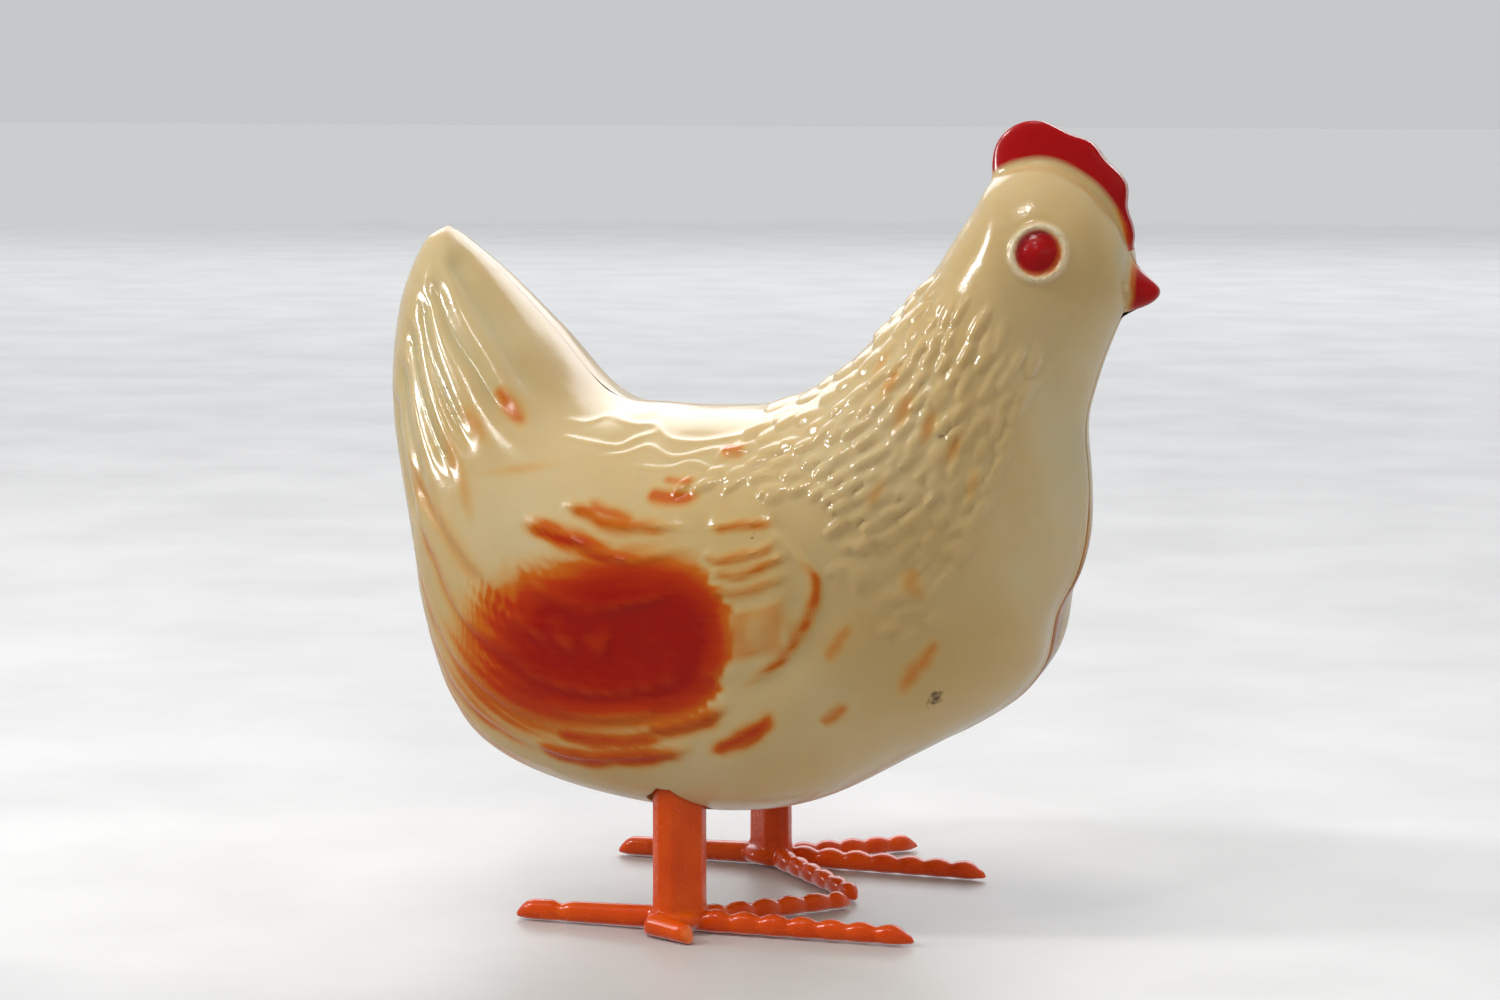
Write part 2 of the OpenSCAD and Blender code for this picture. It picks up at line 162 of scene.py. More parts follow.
def apply_modifiers(piece):
    """Replaces the mesh of the piece with what its modifiers make of it."""
    bpy.context.view_layer.update()
    graph = bpy.context.evaluated_depsgraph_get()
    done = bpy.data.meshes.new_from_object(piece.evaluated_get(graph),
                                           preserve_all_data_layers=True, depsgraph=graph)
    piece.modifiers.clear()
    piece.data = done


def combine(piece, other, operation):
    """Cuts other from the piece, or joins it on, and drops other."""
    step = piece.modifiers.new("combine", "BOOLEAN")
    step.operation = operation
    step.solver = "MANIFOLD"
    step.object = other
    apply_modifiers(piece)
    bpy.data.objects.remove(other)


def smooth_but_sharp(piece, degrees):
    """Smooth shading, except over edges that turn by more than the angle."""
    piece.data.polygons.foreach_set("use_smooth", [True] * len(piece.data.polygons))
    piece.data.set_sharp_from_angle(angle=np.radians(degrees))


def step_up(value, low, high):
    """0 below low, 1 above high, and 3u^2 - 2u^3 between them."""
    u = np.clip((value - low) / (high - low), 0, 1)
    return u * u * (3 - 2 * u)


# %% [markdown]
# ## The body as a surface of two parameters
#
# The mould maker's hen is a loft: each rib hangs between a point of the back line and a
# point of the belly line, and its half section is a rounded box. So the whole flank is one
# function of t, the rib counted from tail to face, and of a, the angle round the rib from
# the back line (0) to the belly line (180). It is the same loft as the CAD shell, which
# keeps both in one shape.

# %% The lines of the hen
BODY_LONG = 128.0
BODY_TALL = 113.3
HALF_WIDE = 37.5
BELLY_UP = 19.8
WALL = 1.6
BACK = np.array([
    [-0.416, 0.890], [-0.390, 0.870], [-0.336, 0.820], [-0.255, 0.729], [-0.172, 0.630],
    [-0.083, 0.615], [-0.000, 0.613], [0.083, 0.623], [0.156, 0.661], [0.232, 0.739],
    [0.298, 0.824], [0.328, 0.875], [0.357, 0.926], [0.391, 0.981], [0.454, 0.998],
    [0.514, 0.966], [0.553, 0.911], [0.568, 0.867]])
BELLY = np.array([
    [-0.416, 0.890], [-0.449, 0.859], [-0.483, 0.754], [-0.488, 0.602], [-0.454, 0.430],
    [-0.399, 0.215], [-0.306, 0.076], [-0.100, 0.011], [0.125, 0.005], [0.304, 0.091],
    [0.455, 0.209], [0.487, 0.315], [0.509, 0.425], [0.501, 0.582], [0.519, 0.665],
    [0.545, 0.744], [0.569, 0.794], [0.568, 0.867]])
HALF_W = np.array([0.00, 0.15, 0.33, 0.54, 0.75, 0.90, 0.98, 1.00, 0.97,
                   0.87, 0.72, 0.64, 0.56, 0.46, 0.40, 0.34, 0.22, 0.00])
LOW_POWER = np.array([2, 1.9, 1.8, 1.85, 2, 2.4, 3.2, 4.2, 4, 2.9, 2.3, 2.2, 2.1,
                      2, 2, 2, 2, 2])
TOP_POWER = 2.15
LAST = len(BACK) - 1
SIZE = np.array([BODY_LONG, BODY_TALL])


def along(knots, t):
    """Catmull-Rom curve: on each stretch half of
    2b + (c-a)u + (2a-5b+4c-d)u^2 + (3b-a-3c+d)u^3, for four knots a, b, c, d in a row."""
    i = np.clip(np.floor(t).astype(int), 0, len(knots) - 2)
    u = t - i
    ends = np.concatenate([[2 * knots[0] - knots[1]], knots, [2 * knots[-1] - knots[-2]]])
    a, b, c, d = ends[i], ends[i + 1], ends[i + 2], ends[i + 3]
    if knots.ndim > 1:
        u = u[..., None]
    return 0.5 * (2 * b + (c - a) * u + (2 * a - 5 * b + 4 * c - d) * u * u
                  + (3 * b - a - 3 * c + d) * u ** 3)


def flank(t, a, inset=0.0):
    """Points of the right side. From the rib's middle, cos(a)^(2/n) of its reach goes up
    the rib and sin(a)^(2/n) of its half width goes sideways; n sets how boxy it is."""
    top = along(BACK, t) * SIZE
    low = along(BELLY, t) * SIZE
    middle = (top + low) / 2
    reach = np.linalg.norm(top - low, axis=-1) / 2
    way = (top - low) / np.maximum(2 * reach, 1e-9)[..., None]
    n = np.where(a <= np.pi / 2, TOP_POWER, along(LOW_POWER, t))
    c, s = np.cos(a), np.abs(np.sin(a))
    rise = np.maximum(reach - inset, 0) * np.sign(c) * np.abs(c) ** (2 / n)
    side = np.maximum(along(HALF_W, t) * HALF_WIDE - inset, 0) * s ** (2 / n)
    return np.stack([middle[..., 0] + way[..., 0] * rise, -side,
                     BELLY_UP + middle[..., 1] + way[..., 1] * rise], -1)


# %% [markdown]
# ## Lines spread evenly over the body
#
# The relief is fine, so the grid's cells should be about the same size everywhere. The ribs
# are placed at equal steps of length along the flank rather than at equal steps of t, and
# the points of a rib stand closer at the back line, where the comb rises.

# %% The grid
RIBS = 400
ROUND = 186
INNER_ROUND = 22


def even_ribs(count):
    """Values of t at equal steps of the mean length of three lines along the body."""
    fine = np.linspace(0, LAST, 3000)
    length = np.zeros(len(fine))
    for degrees in (40, 90, 135):
        line = flank(fine, np.full(len(fine), np.radians(degrees)))
        length[1:] += np.cumsum(np.linalg.norm(np.diff(line, axis=0), axis=1))
    length += 26 * step_up(fine, 12.4, 13.2) + 26 * step_up(fine, 15.0, 16.8)
    return np.interp(np.linspace(0, length[-1], count), length, fine)


rib_t = even_ribs(RIBS)
u = np.linspace(0, 1, ROUND)
rib_a = np.pi * (u - 0.045 * np.sin(2 * np.pi * u) - 0.03 * np.sin(np.pi * u))
T, A = np.meshgrid(rib_t, rib_a, indexing="ij")
BASE = flank(T, A)


def skin_normal(skin):
    """Unit normals of a grid of points: the cross product of its two slopes."""
    normal = np.cross(np.gradient(skin, axis=0), np.gradient(skin, axis=1))
    normal /= np.maximum(np.linalg.norm(normal, axis=-1), 1e-9)[..., None]
    if normal[skin.shape[0] // 2, skin.shape[1] // 2, 1] > 0:
        normal = -normal
    normal[:, [0, -1], 1] = 0
    normal[[0, -1]] = normal[[1, -2]]
    return normal


NORMAL = skin_normal(BASE)
X, Y, Z = BASE[..., 0], -BASE[..., 1], BASE[..., 2]
print("grid %d x %d, mean cell %.2f x %.2f mm"
      % (RIBS, ROUND, np.linalg.norm(np.diff(BASE, axis=0), axis=-1).mean(),
         np.linalg.norm(np.diff(BASE, axis=1), axis=-1).mean()))

# %% [markdown]
# ## Drawing on the flank
#
# The engraver cut the feathers by looking at the flank from the side. So do we: a feather's
# edge is a smooth line in x and z, and what matters at a point of the skin is how far it is
# from the line, on which side, and how far along it. The same lines later guide the
# airbrush, as the real painter followed the relief.


# %% Distance to a line on the flank
def near_line(line, pieces=28):
    """For each grid point: signed distance to a smooth line in x and z (positive on the
    left of its direction), and the share of the line at the nearest place."""
    knots = np.array(line, float)
    share = np.linspace(0, 1, pieces + 1)
    track = along(knots, share * (len(knots) - 1))
    best = np.full(X.shape, 1e9)
    side = np.zeros(X.shape)
    place = np.zeros(X.shape)
    for k in range(pieces):
        p, q = track[k], track[k + 1]
        d = q - p
        w = np.clip(((X - p[0]) * d[0] + (Z - p[1]) * d[1]) / (d @ d), 0, 1)
        dx, dz = X - p[0] - w * d[0], Z - p[1] - w * d[1]
        far = np.hypot(dx, dz)
        closer = far < best
        best = np.where(closer, far, best)
        side = np.where(closer, np.sign(d[0] * dz - d[1] * dx), side)
        place = np.where(closer, (k + w) / pieces, place)
    return best * side, place


def ends_fade(place, first=0.15, last=0.2):
    """1 along the line and 0 at its two ends."""
    return step_up(place, 0, first) * (1 - step_up(place, 1 - last, 1))


def lap(line, height, run, edge=0.5, first=0.15, last=0.2):
    """A feather's lapped edge: the skin steps up by height over the line's edge and
    sinks back over the distance run on its left side."""
    d, place = near_line(line)
    profile = step_up(d, -edge, edge) * np.exp(-np.maximum(d, 0) / run)
    return height * profile * ends_fade(place, first, last)


def groove(line, depth, width, first=0.15, last=0.2):
    """A rounded valley of a bell's section along the line."""
    d, place = near_line(line)
    return -depth * np.exp(-(d / width) ** 2) * ends_fade(place, first, last)


# %% [markdown]
# ## Tail flutes and flank feathers
#
# The tail is fluted like a shell, with broad round ribs that fan out from its tip. Below
# it, long feather edges curve round the rump and run out under the wing. Small wavy ridges
# cross the back.

# %% Relief of tail, rump and back
FLUTES = [
    [(-50.6, 117.2), (-44.2, 109.6), (-36.7, 101.0), (-31.0, 94.2), (-24.9, 88.3)],
    [(-52.6, 113.5), (-46.3, 103.8), (-40.0, 96.9), (-34.9, 91.0), (-28.5, 85.3)],
    [(-54.2, 110.0), (-50.0, 100.0), (-45.6, 93.1), (-40.9, 86.8), (-36.0, 81.5)],
    [(-56.0, 105.0), (-51.9, 94.4), (-47.7, 86.9), (-43.9, 81.7), (-39.0, 76.5)],
    [(-57.2, 99.0), (-53.8, 87.5), (-50.2, 80.5), (-47.4, 74.8), (-43.0, 70.0)],
    [(-59.0, 92.0), (-56.2, 81.0), (-53.0, 74.0), (-49.5, 68.0)]]
RUMP = [
    [(-56.5, 84.0), (-49.2, 75.4), (-44.1, 71.0), (-38.6, 65.2), (-33.1, 60.9), (-26.0, 58.2)],
    [(-55.5, 77.0), (-47.3, 67.0), (-43.2, 61.2), (-39.4, 55.6), (-33.0, 50.4), (-25.0, 46.8),
     (-16.0, 45.2)],
    [(-56.0, 70.0), (-50.0, 60.6), (-45.7, 53.0), (-40.4, 47.0), (-34.2, 42.3), (-27.2, 38.5),
     (-19.0, 36.1), (-9.0, 35.2)],
    [(-55.0, 62.0), (-50.0, 52.5), (-45.1, 45.8), (-40.1, 40.6), (-33.5, 36.1), (-25.1, 32.3),
     (-15.0, 30.4)],
    [(-54.0, 53.0), (-48.5, 44.0), (-42.5, 37.5), (-35.5, 32.0), (-27.0, 28.0), (-17.0, 26.2)]]
BACK_WAVES = [
    [(-25.9, 88.3), (-20.4, 87.5), (-17.3, 88.3), (-11.9, 87.3), (-8.3, 87.3), (-4.1, 85.4),
     (0.8, 85.1), (5.3, 85.7), (10.4, 86.8), (15.0, 88.7)],
    [(-24.0, 85.6), (-18.8, 84.7), (-12.8, 84.1), (-10.1, 85.3), (-6.3, 86.4)],
    [(-16.6, 82.6), (-11.2, 82.8), (-7.0, 84.1), (-1.8, 82.7), (5.4, 84.1), (12.0, 83.4)],
    [(-9.2, 81.2), (-2.3, 80.9), (1.8, 81.9), (8.0, 80.6)]]
feathers = np.zeros(X.shape)
for line in FLUTES:
    feathers += groove(line, 1.1, 1.6, 0.12, 0.3)
    feathers += lap(line, 0.36, 2.5, 0.9, 0.12, 0.3)
for line in RUMP:
    feathers += lap(line, 0.6, 3.0, 0.7, 0.12, 0.35)
    feathers += groove(line, 0.35, 0.8, 0.12, 0.35)
for line in BACK_WAVES:
    feathers += lap(line, -0.42, 1.8, 0.35)
    feathers += groove(line, -0.34, 0.5)
print("tail, rump and back relief %.2f to %.2f mm" % (feathers.min(), feathers.max()))

# %% [markdown]
# ## The wing
#
# The wing is a raised oval with a rolled front edge. Inside it, curved quills run back from
# the front edge, closer together at the front and lost under the paint behind.

# %% Relief of the wing
WING_EDGE = [(15.5, 74.0), (22.0, 69.6), (26.0, 65.0), (26.7, 61.8), (25.8, 57.6),
             (23.2, 53.0), (20.1, 49.4), (16.0, 46.3), (10.5, 43.6)]
QUILLS = [
    [(-20.2, 74.7), (-14.3, 73.2), (-9.4, 71.3), (-2.9, 71.3), (5.7, 71.4)],
    [(-28.1, 71.4), (-21.7, 70.1), (-15.7, 68.4), (-10.2, 66.4), (-4.0, 65.8), (7.6, 69.2)],
    [(6.8, 71.4), (15.3, 72.4), (20.0, 72.9)],
    [(6.4, 67.1), (11.0, 66.4), (17.3, 68.1), (21.0, 70.6)],
    [(7.6, 64.3), (13.5, 64.1), (18.8, 66.1), (23.0, 68.2)],
    [(8.0, 61.4), (13.0, 61.0), (18.0, 62.4), (23.5, 64.9)],
    [(9.2, 57.0), (14.0, 57.0), (18.6, 58.4), (23.6, 61.7)],
    [(10.2, 53.3), (15.8, 53.8), (20.0, 55.7), (24.2, 58.5)],
    [(10.7, 50.2), (15.0, 50.8), (19.5, 52.9), (22.5, 54.6)],
    [(6.7, 46.9), (11.5, 47.6), (16.5, 49.6), (19.5, 51.6)],
    [(-4.7, 36.9), (2.1, 37.5), (7.5, 39.2), (13.7, 42.7)],
    [(-25.8, 34.3), (-20.7, 31.9), (-14.5, 31.0), (-5.7, 31.8), (1.6, 32.8), (7.9, 35.6)],
    [(-30.0, 56.0), (-22.0, 52.4), (-13.0, 50.6), (-5.0, 52.0)],
    [(-26.0, 62.4), (-19.0, 59.2), (-11.0, 57.6), (-3.0, 59.0), (4.0, 61.0)],
    [(-29.0, 48.0), (-20.0, 44.2), (-11.0, 42.8), (-2.0, 44.2), (6.0, 46.8)],
    [(-22.0, 40.6), (-14.0, 38.6), (-6.0, 38.9), (1.5, 40.8)]]
wing = lap(WING_EDGE, -0.55, 5.0, 0.5, 0.1, 0.2) + groove(WING_EDGE, -0.45, 0.8, 0.1, 0.2)
for line in QUILLS:
    wing += lap(line, 0.45, 1.9, 0.35) + groove(line, -0.22, 0.45)
print("wing relief %.2f to %.2f mm" % (wing.min(), wing.max()))

# %% [markdown]
# ## Neck feathers
#
# The shoulder and the lower neck are covered in small tongue-shaped feathers that overlap
# like tiles and point back and down. Each is a tongue with a rounded tip. Its height falls
# off from tip to root, and where two overlap the higher one wins, which gives the row after
# row of small crescents that catch the light. They lie in loose rows, so the places are a
# lattice with a seeded shake.


# %% Relief of neck and shoulder
def lie(x, z):
    """Angle in degrees of the feathers' length: steep on the neck, flatter at the wing."""
    climb = (x - 28) / 26 + (z - 78) / 40
    return 26 + 38 * step_up(climb, -0.35, 1.25)


def tongue(x0, z0, degrees, long, wide, height, bend):
    """Height of one feather: height * (1 - (v/half)^2)^0.7 across it, with half wide at its
    tip and narrower to its root, and a rise at the tip that fades along u to the root."""
    c, s = np.cos(np.radians(degrees)), np.sin(np.radians(degrees))
    u = ((X - x0) * c + (Z - z0) * s)
    v = (-(X - x0) * s + (Z - z0) * c) - bend * u * u
    share = np.clip(u / long, 0, 1)
    half = wide * np.sqrt(np.clip(1 - (1 - share) ** 4, 0.001, 1)) * (1 - 0.35 * share)
    crest = np.clip(1 - (v / half) ** 2, 0, 1) ** 0.7
    return height * crest * step_up(u, -0.2, 0.9) * (1 - step_up(u, 0.35 * long, long))


chance = np.random.default_rng(7)
tongues = np.zeros(X.shape)
count = 0
for row in range(17):
    for column in range(19):
        # rows step down the neck from under the head, columns cross it from back to breast
        down, over = row * 3.9, (column - 9 + 0.5 * (row % 2)) * 3.0
        x0 = 51.5 - 0.62 * down + 0.80 * over + chance.normal(0, 0.55)
        z0 = 101.5 - 0.80 * down - 0.50 * over + chance.normal(0, 0.55)
        long, wide = chance.uniform(5.0, 8.5), chance.uniform(1.1, 1.5)
        height, turn = chance.uniform(0.46, 0.78), chance.normal(0, 6)
        bend = chance.normal(0, 0.012)
        front = 59 - 0.0065 * (96 - z0) ** 2 - 0.12 * (96 - z0)
        behind_wing = z0 < 75 and x0 < 27 + 0.45 * (75 - z0) * (z0 < 62)
        if x0 > front or z0 < 45 or behind_wing or x0 < (-14 if z0 > 76 else 10):
            continue
        height *= 1.0 if z0 > 66 else 0.7
        tongues = np.maximum(tongues, tongue(x0, z0, lie(x0, z0) + turn, long, wide,
                                             height, bend))
        count += 1
print("%d neck feathers, up to %.2f mm high" % (count, tongues.max()))

# %% [markdown]
# ## Eye, comb and beak
#
# They are one moulding with the shells, so they are raised out of the same surface: the
# skin moves outwards by a profile. That gives the soft fillet at the comb's root that glue
# or a joined block never has. The eye is a ring round a low dome. The comb is a wall that
# stands on the back line, and the beak is a blunt cone in front of the face.

# %% Relief of the eye
EYE = np.array([59.9, 117.9])
eye_r = np.hypot(X - EYE[0], Z - EYE[1])
on_flank = step_up(Y, 4, 7)
eye = on_flank * (0.70 * np.exp(-((eye_r - 4.35) / 0.62) ** 2)
                  - 0.38 * np.exp(-((eye_r - 3.5) / 0.35) ** 2)
                  + 0.55 * np.clip(1 - (eye_r / 3.3) ** 2, 0, 1)
                  - 0.30 * np.exp(-((eye_r - 2.6) / 0.30) ** 2)
                  + 0.25 * np.clip(1 - (eye_r / 1.3) ** 2, 0, 1))

# %% Comb and beak raised from the skin
COMB = np.array([
    [12.72, 0.00], [12.88, 0.16], [13.04, 0.46], [13.18, 0.70], [13.35, 0.88], [13.55, 1.00],
    [13.78, 1.03], [13.93, 0.96], [14.08, 0.83], [14.29, 0.77], [14.50, 0.83], [14.64, 0.84],
    [14.77, 0.73], [14.96, 0.64], [15.13, 0.64], [15.29, 0.65], [15.46, 0.61], [15.61, 0.48],
    [15.78, 0.31], [16.00, 0.24], [16.30, 0.21], [16.61, 0.17], [17.00, 0.04]])
COMB_HIGH = 7.0
COMB_HALF = 2.5
ridge = np.interp(T, COMB[:, 0], COMB[:, 1], left=0, right=0)
ridge = np.array([np.convolve(np.pad(col, 1, mode="edge"), np.ones(3) / 3, "valid")
                  for col in ridge.T]).T
half_here = np.interp(T, [12.7, 13.2, 15.0, 16.2, 17.0],
                      [COMB_HALF, COMB_HALF, COMB_HALF * 0.9, 1.6, 1.0])
comb_share = (1 - step_up(Y, 0.55 * half_here, 1.35 * half_here)) * (A < np.pi / 2)
comb = COMB_HIGH * ridge * comb_share
# the comb stands up along the back line's own normal, not the skin's
line = along(BACK, rib_t) * SIZE
tangent = np.gradient(line, axis=0)
tangent /= np.linalg.norm(tangent, axis=1)[:, None]
UP = np.stack([-tangent[:, 1], np.zeros(RIBS), tangent[:, 0]], -1)[:, None, :]

BEAK_ROOT = np.array([72.0, 111.2])
BEAK_LONG = 5.0
beak_up = Z - BEAK_ROOT[1]
across = np.hypot(beak_up, 1.2 * Y)
# hollow above and full below: a bell's curve over the middle, a round one under it
hollow = np.exp(-(across / 3.3) ** 2)
full = np.clip(1 - (across / 4.0) ** 2, 0, 1) ** 0.85
upper = step_up(beak_up, -1.0, 1.0)
beak = BEAK_LONG * (upper * hollow + (1 - upper) * full) * (X > 60)
beak *= step_up(beak, 0.0, 0.25)
AHEAD = np.array([0.985, 0, -0.06])
print("comb up to %.1f mm, beak up to %.1f mm" % (comb.max(), beak.max()))

# %% [markdown]
# ## The seam
#
# Two mouldings never meet perfectly. Each edge is a little rounded, so a fine line runs
# round the whole hen. Under the breast the right half stops short and ends in a rolled lip,
# and the left half shows beyond it. The breast line itself is a little wavy.

# %% Seam, lip and wave
edge_round = -0.22 * np.exp(-(Y / 0.4) ** 2) * (comb_share < 0.05)
low_front = (A > np.pi / 2) * step_up(T, 8.6, 9.4) * (1 - step_up(T, 11.4, 12.6))
lip = low_front * (-0.75 * np.exp(-(Y / 1.3) ** 2) + 0.25 * np.exp(-((Y - 2.6) / 1.0) ** 2))
beyond = 0.25 * low_front * np.exp(-(Y / 3.0) ** 2)
# how far the real breast line stands out from the loft, along the ribs from hole to chin
BREAST = np.array([[8.3, 0.0], [8.7, -0.9], [9.0, -0.5], [9.4, 0.0], [9.7, 0.2], [10.0, -1.0],
                   [10.5, -1.7], [10.95, -1.5], [11.4, -0.2], [12.1, 0.7], [12.6, 1.5],
                   [13.1, 1.0], [14.0, 0.4], [15.0, 0.3], [15.6, 0.0]])


def breast_wave(t, a, y):
    """The table's offset, smoothed along the ribs, near the middle of the lower side."""
    fine = np.linspace(0, LAST, 681)
    out = np.interp(fine, BREAST[:, 0], BREAST[:, 1], left=0, right=0)
    out = np.convolve(out, np.hanning(25) / np.hanning(25).sum(), "same")
    return np.interp(t, fine, out) * np.exp(-(y / 9) ** 2) * (a > np.pi / 2)


wave = breast_wave(T, A, Y)
# no relief where the halves meet, under the belly or on the head
calm = step_up(Y, 1.0, 5.0) * step_up(Z, 22.0, 27.0)
# a pin that pushed the half out of its mould left a faint ring low on the breast
PIN_MARK, PIN_MARK_R = (46.7, 50.7), 1.9
from_mark = np.hypot(X - PIN_MARK[0], Z - PIN_MARK[1])
boss_mark = -0.16 * np.exp(-((from_mark - PIN_MARK_R) / 0.25) ** 2) * on_flank
common = calm * (feathers + wing + tongues) + eye + edge_round + wave + boss_mark
print("seam lip %.2f mm, breast wave %.2f to %.2f mm" % (lip.min(), wave.min(), wave.max()))

# %% [markdown]
# ## The airbrush
#
# The paint was blown on by hand: a deep red patch on the wing that runs out backwards in
# orange streaks, thin orange along the relief's edges, some dabs at the neck and tail, and
# red on comb, beak and eye. Here each is a soft mask over the grid. "paint" is how much of
# the blown colour lies on the skin, "red" is the solid red, and "seam" is the brown line
# where dust and glue sit in the joint.


# %% Where the paint lies
def ripple(seed, size):
    """Smooth noise between -1 and 1 on the flank: a sum of eight random waves in x and z
    whose lengths are near size."""
    waves = np.random.default_rng(seed)
    total = np.zeros(X.shape)
    for _ in range(8):
        angle, phase = waves.uniform(0, 2 * np.pi, 2)
        k = 2 * np.pi / (size * waves.uniform(0.6, 1.6))
        total += np.sin(k * (X * np.cos(angle) + Z * np.sin(angle)) + phase)
    return total / 4


UNEASY = ripple(21, 5.0)


def stroke(line, width, strength, first=0.2, last=0.3):
    """A soft band of paint along a line, widest half way, drawn with an uneasy hand."""
    d, place = near_line(line, 16)
    here = width * (0.6 + 0.4 * np.sin(np.pi * place))
    return strength * np.exp(-((d + 0.25 * UNEASY) / here) ** 2) * ends_fade(place, first, last)


def dab(x, z, long, wide, degrees, strength):
    """A soft oval of paint."""
    c, s = np.cos(np.radians(degrees)), np.sin(np.radians(degrees))
    u, v = (X - x) * c + (Z - z) * s, -(X - x) * s + (Z - z) * c
    return strength * np.exp(-((u / long) ** 2 + (v / wide) ** 2) ** 1.3)


# the feathers behind the wing sweep up to the rear, those in front of it up to the front
flow = Z - 0.021 * np.clip(-16 - X, 0, None) ** 2 - 0.012 * np.clip(X + 13, 0, None) ** 2


def streaks_along(seed, fine, long):
    """Noise of long thin streaks: a sum of 14 waves, short across the flow of the
    feathers (near fine) and long along it (near long)."""
    waves = np.random.default_rng(seed)
    total = np.zeros(X.shape)
    for _ in range(14):
        k = 2 * np.pi / (fine * waves.uniform(0.7, 2.6))
        m = 2 * np.pi / (long * waves.uniform(0.8, 2.5)) * waves.choice([-1, 1])
        total += np.sin(k * flow + m * X + waves.uniform(0, 2 * np.pi))
    return total / 5


blown_in = streaks_along(3, 3.0, 90.0)
scallop = 0.8 * np.sin(2 * np.pi * flow / 4.3) + 0.5 * ripple(4, 8.0)
front_edge = 1 - step_up(X + scallop - 13.2 + 0.034 * (Z - 53.5) ** 2, -1.2, 0.8)
core_x = (X + 6) / np.where(X < -6, 40.0, 26.0)
core_z = (Z - 52.3 - 0.16 * np.minimum(X + 6, 0)) / 18.8
core_r = (np.abs(core_x) ** 2.4 + np.abs(core_z) ** 2.4) ** (1 / 2.4)
torn_edge = (0.05 + 0.10 * step_up(-X, 5, 32)) * blown_in
core = (1 - step_up(core_r + torn_edge, 0.42, 1.06)) * front_edge
halo_r = np.hypot((X + 16) / 31, (Z - 51 - 0.12 * np.minimum(X + 6, 0)) / 20)
halo = (0.40 + 0.14 * blown_in) * (1 - step_up(halo_r, 0.6, 1.05)) * front_edge
paint = np.maximum(core, halo)
STROKES = [
    (WING_EDGE[1:], 1.3, 0.46), (QUILLS[0], 1.7, 0.48), (QUILLS[1], 2.4, 0.62),
    (QUILLS[2], 1.1, 0.42), (QUILLS[3], 1.2, 0.40), (QUILLS[4], 1.2, 0.42),
    (QUILLS[5], 1.3, 0.36), (QUILLS[6], 1.2, 0.36), (QUILLS[7], 1.2, 0.38),
    (QUILLS[8], 1.2, 0.34), (QUILLS[10], 2.0, 0.58), (QUILLS[11], 2.0, 0.66),
    (RUMP[2], 1.6, 0.36), (RUMP[1], 1.6, 0.34), (RUMP[3], 1.8, 0.40),
    (RUMP[0], 2.4, 0.26), (RUMP[4], 1.8, 0.34),
    ([(-22.0, 36.0), (-14.0, 34.4), (-5.0, 34.8), (5.0, 37.0)], 1.8, 0.60),
    ([(7.0, 33.0), (12.9, 35.4), (17.4, 38.2), (20.1, 42.4)], 1.9, 0.58),
    ([(-37.0, 93.7), (-33.0, 90.5), (-28.5, 85.7)], 1.5, 0.42),
    ([(-5.2, 77.2), (-0.2, 76.0), (6.8, 77.2)], 1.6, 0.46),
    ([(-3.0, 79.0), (1.0, 78.6), (4.5, 79.2)], 0.9, 0.40),
    ([(-16.2, 75.5), (-9.0, 72.8), (-4.0, 72.0)], 1.6, 0.44),
    ([(6.0, 83.9), (12.0, 83.5)], 1.4, 0.40),
    ([(46.4, 54.5), (44.2, 50.4), (41.2, 46.5), (39.5, 41.5)], 1.5, 0.34),
    ([(28.0, 49.0), (30.5, 53.1), (33.0, 57.4)], 1.4, 0.32),
    ([(26.6, 38.8), (29.5, 40.3), (32.3, 43.2)], 1.6, 0.36),
    ([(42.8, 66.6), (42.2, 62.7), (45.0, 59.7)], 1.8, 0.24)]
for line, width, strength in STROKES:
    paint = np.maximum(paint, stroke(line, width, 1.08 * strength))
DABS = [
    (33.8, 99.0, 2.2, 1.6, 60, 0.26), (36.6, 96.1, 2.6, 1.8, 60, 0.34),
    (39.6, 91.8, 2.8, 2.0, 70, 0.34), (43.9, 89.2, 2.6, 1.8, 75, 0.36),
    (48.2, 85.6, 2.4, 1.8, 70, 0.34), (51.3, 79.5, 2.4, 1.4, 80, 0.28),
    (36.1, 78.1, 2.2, 1.6, 60, 0.30), (-38.5, 87.3, 3.6, 2.6, -45, 0.32),
    (-41.9, 81.3, 3.6, 2.4, -60, 0.32), (-38.4, 76.1, 4.6, 2.2, -70, 0.30),
    (-28.7, 79.9, 5.5, 1.5, 8, 0.26), (-44.0, 71.0, 5.0, 2.5, -55, 0.30)]
for x, z, long, wide, degrees, strength in DABS:
    paint = np.maximum(paint, dab(x, z, 1.3 * long, 0.7 * wide, degrees, 0.85 * strength))
# the relief's valleys hold more paint than its ridges
paint = np.clip(paint * (1 - 0.35 * np.clip(calm * (feathers + wing), 0, 1))
                + 0.14 * paint * blown_in, 0, 1)
paint *= step_up(Y, 1.5, 6)

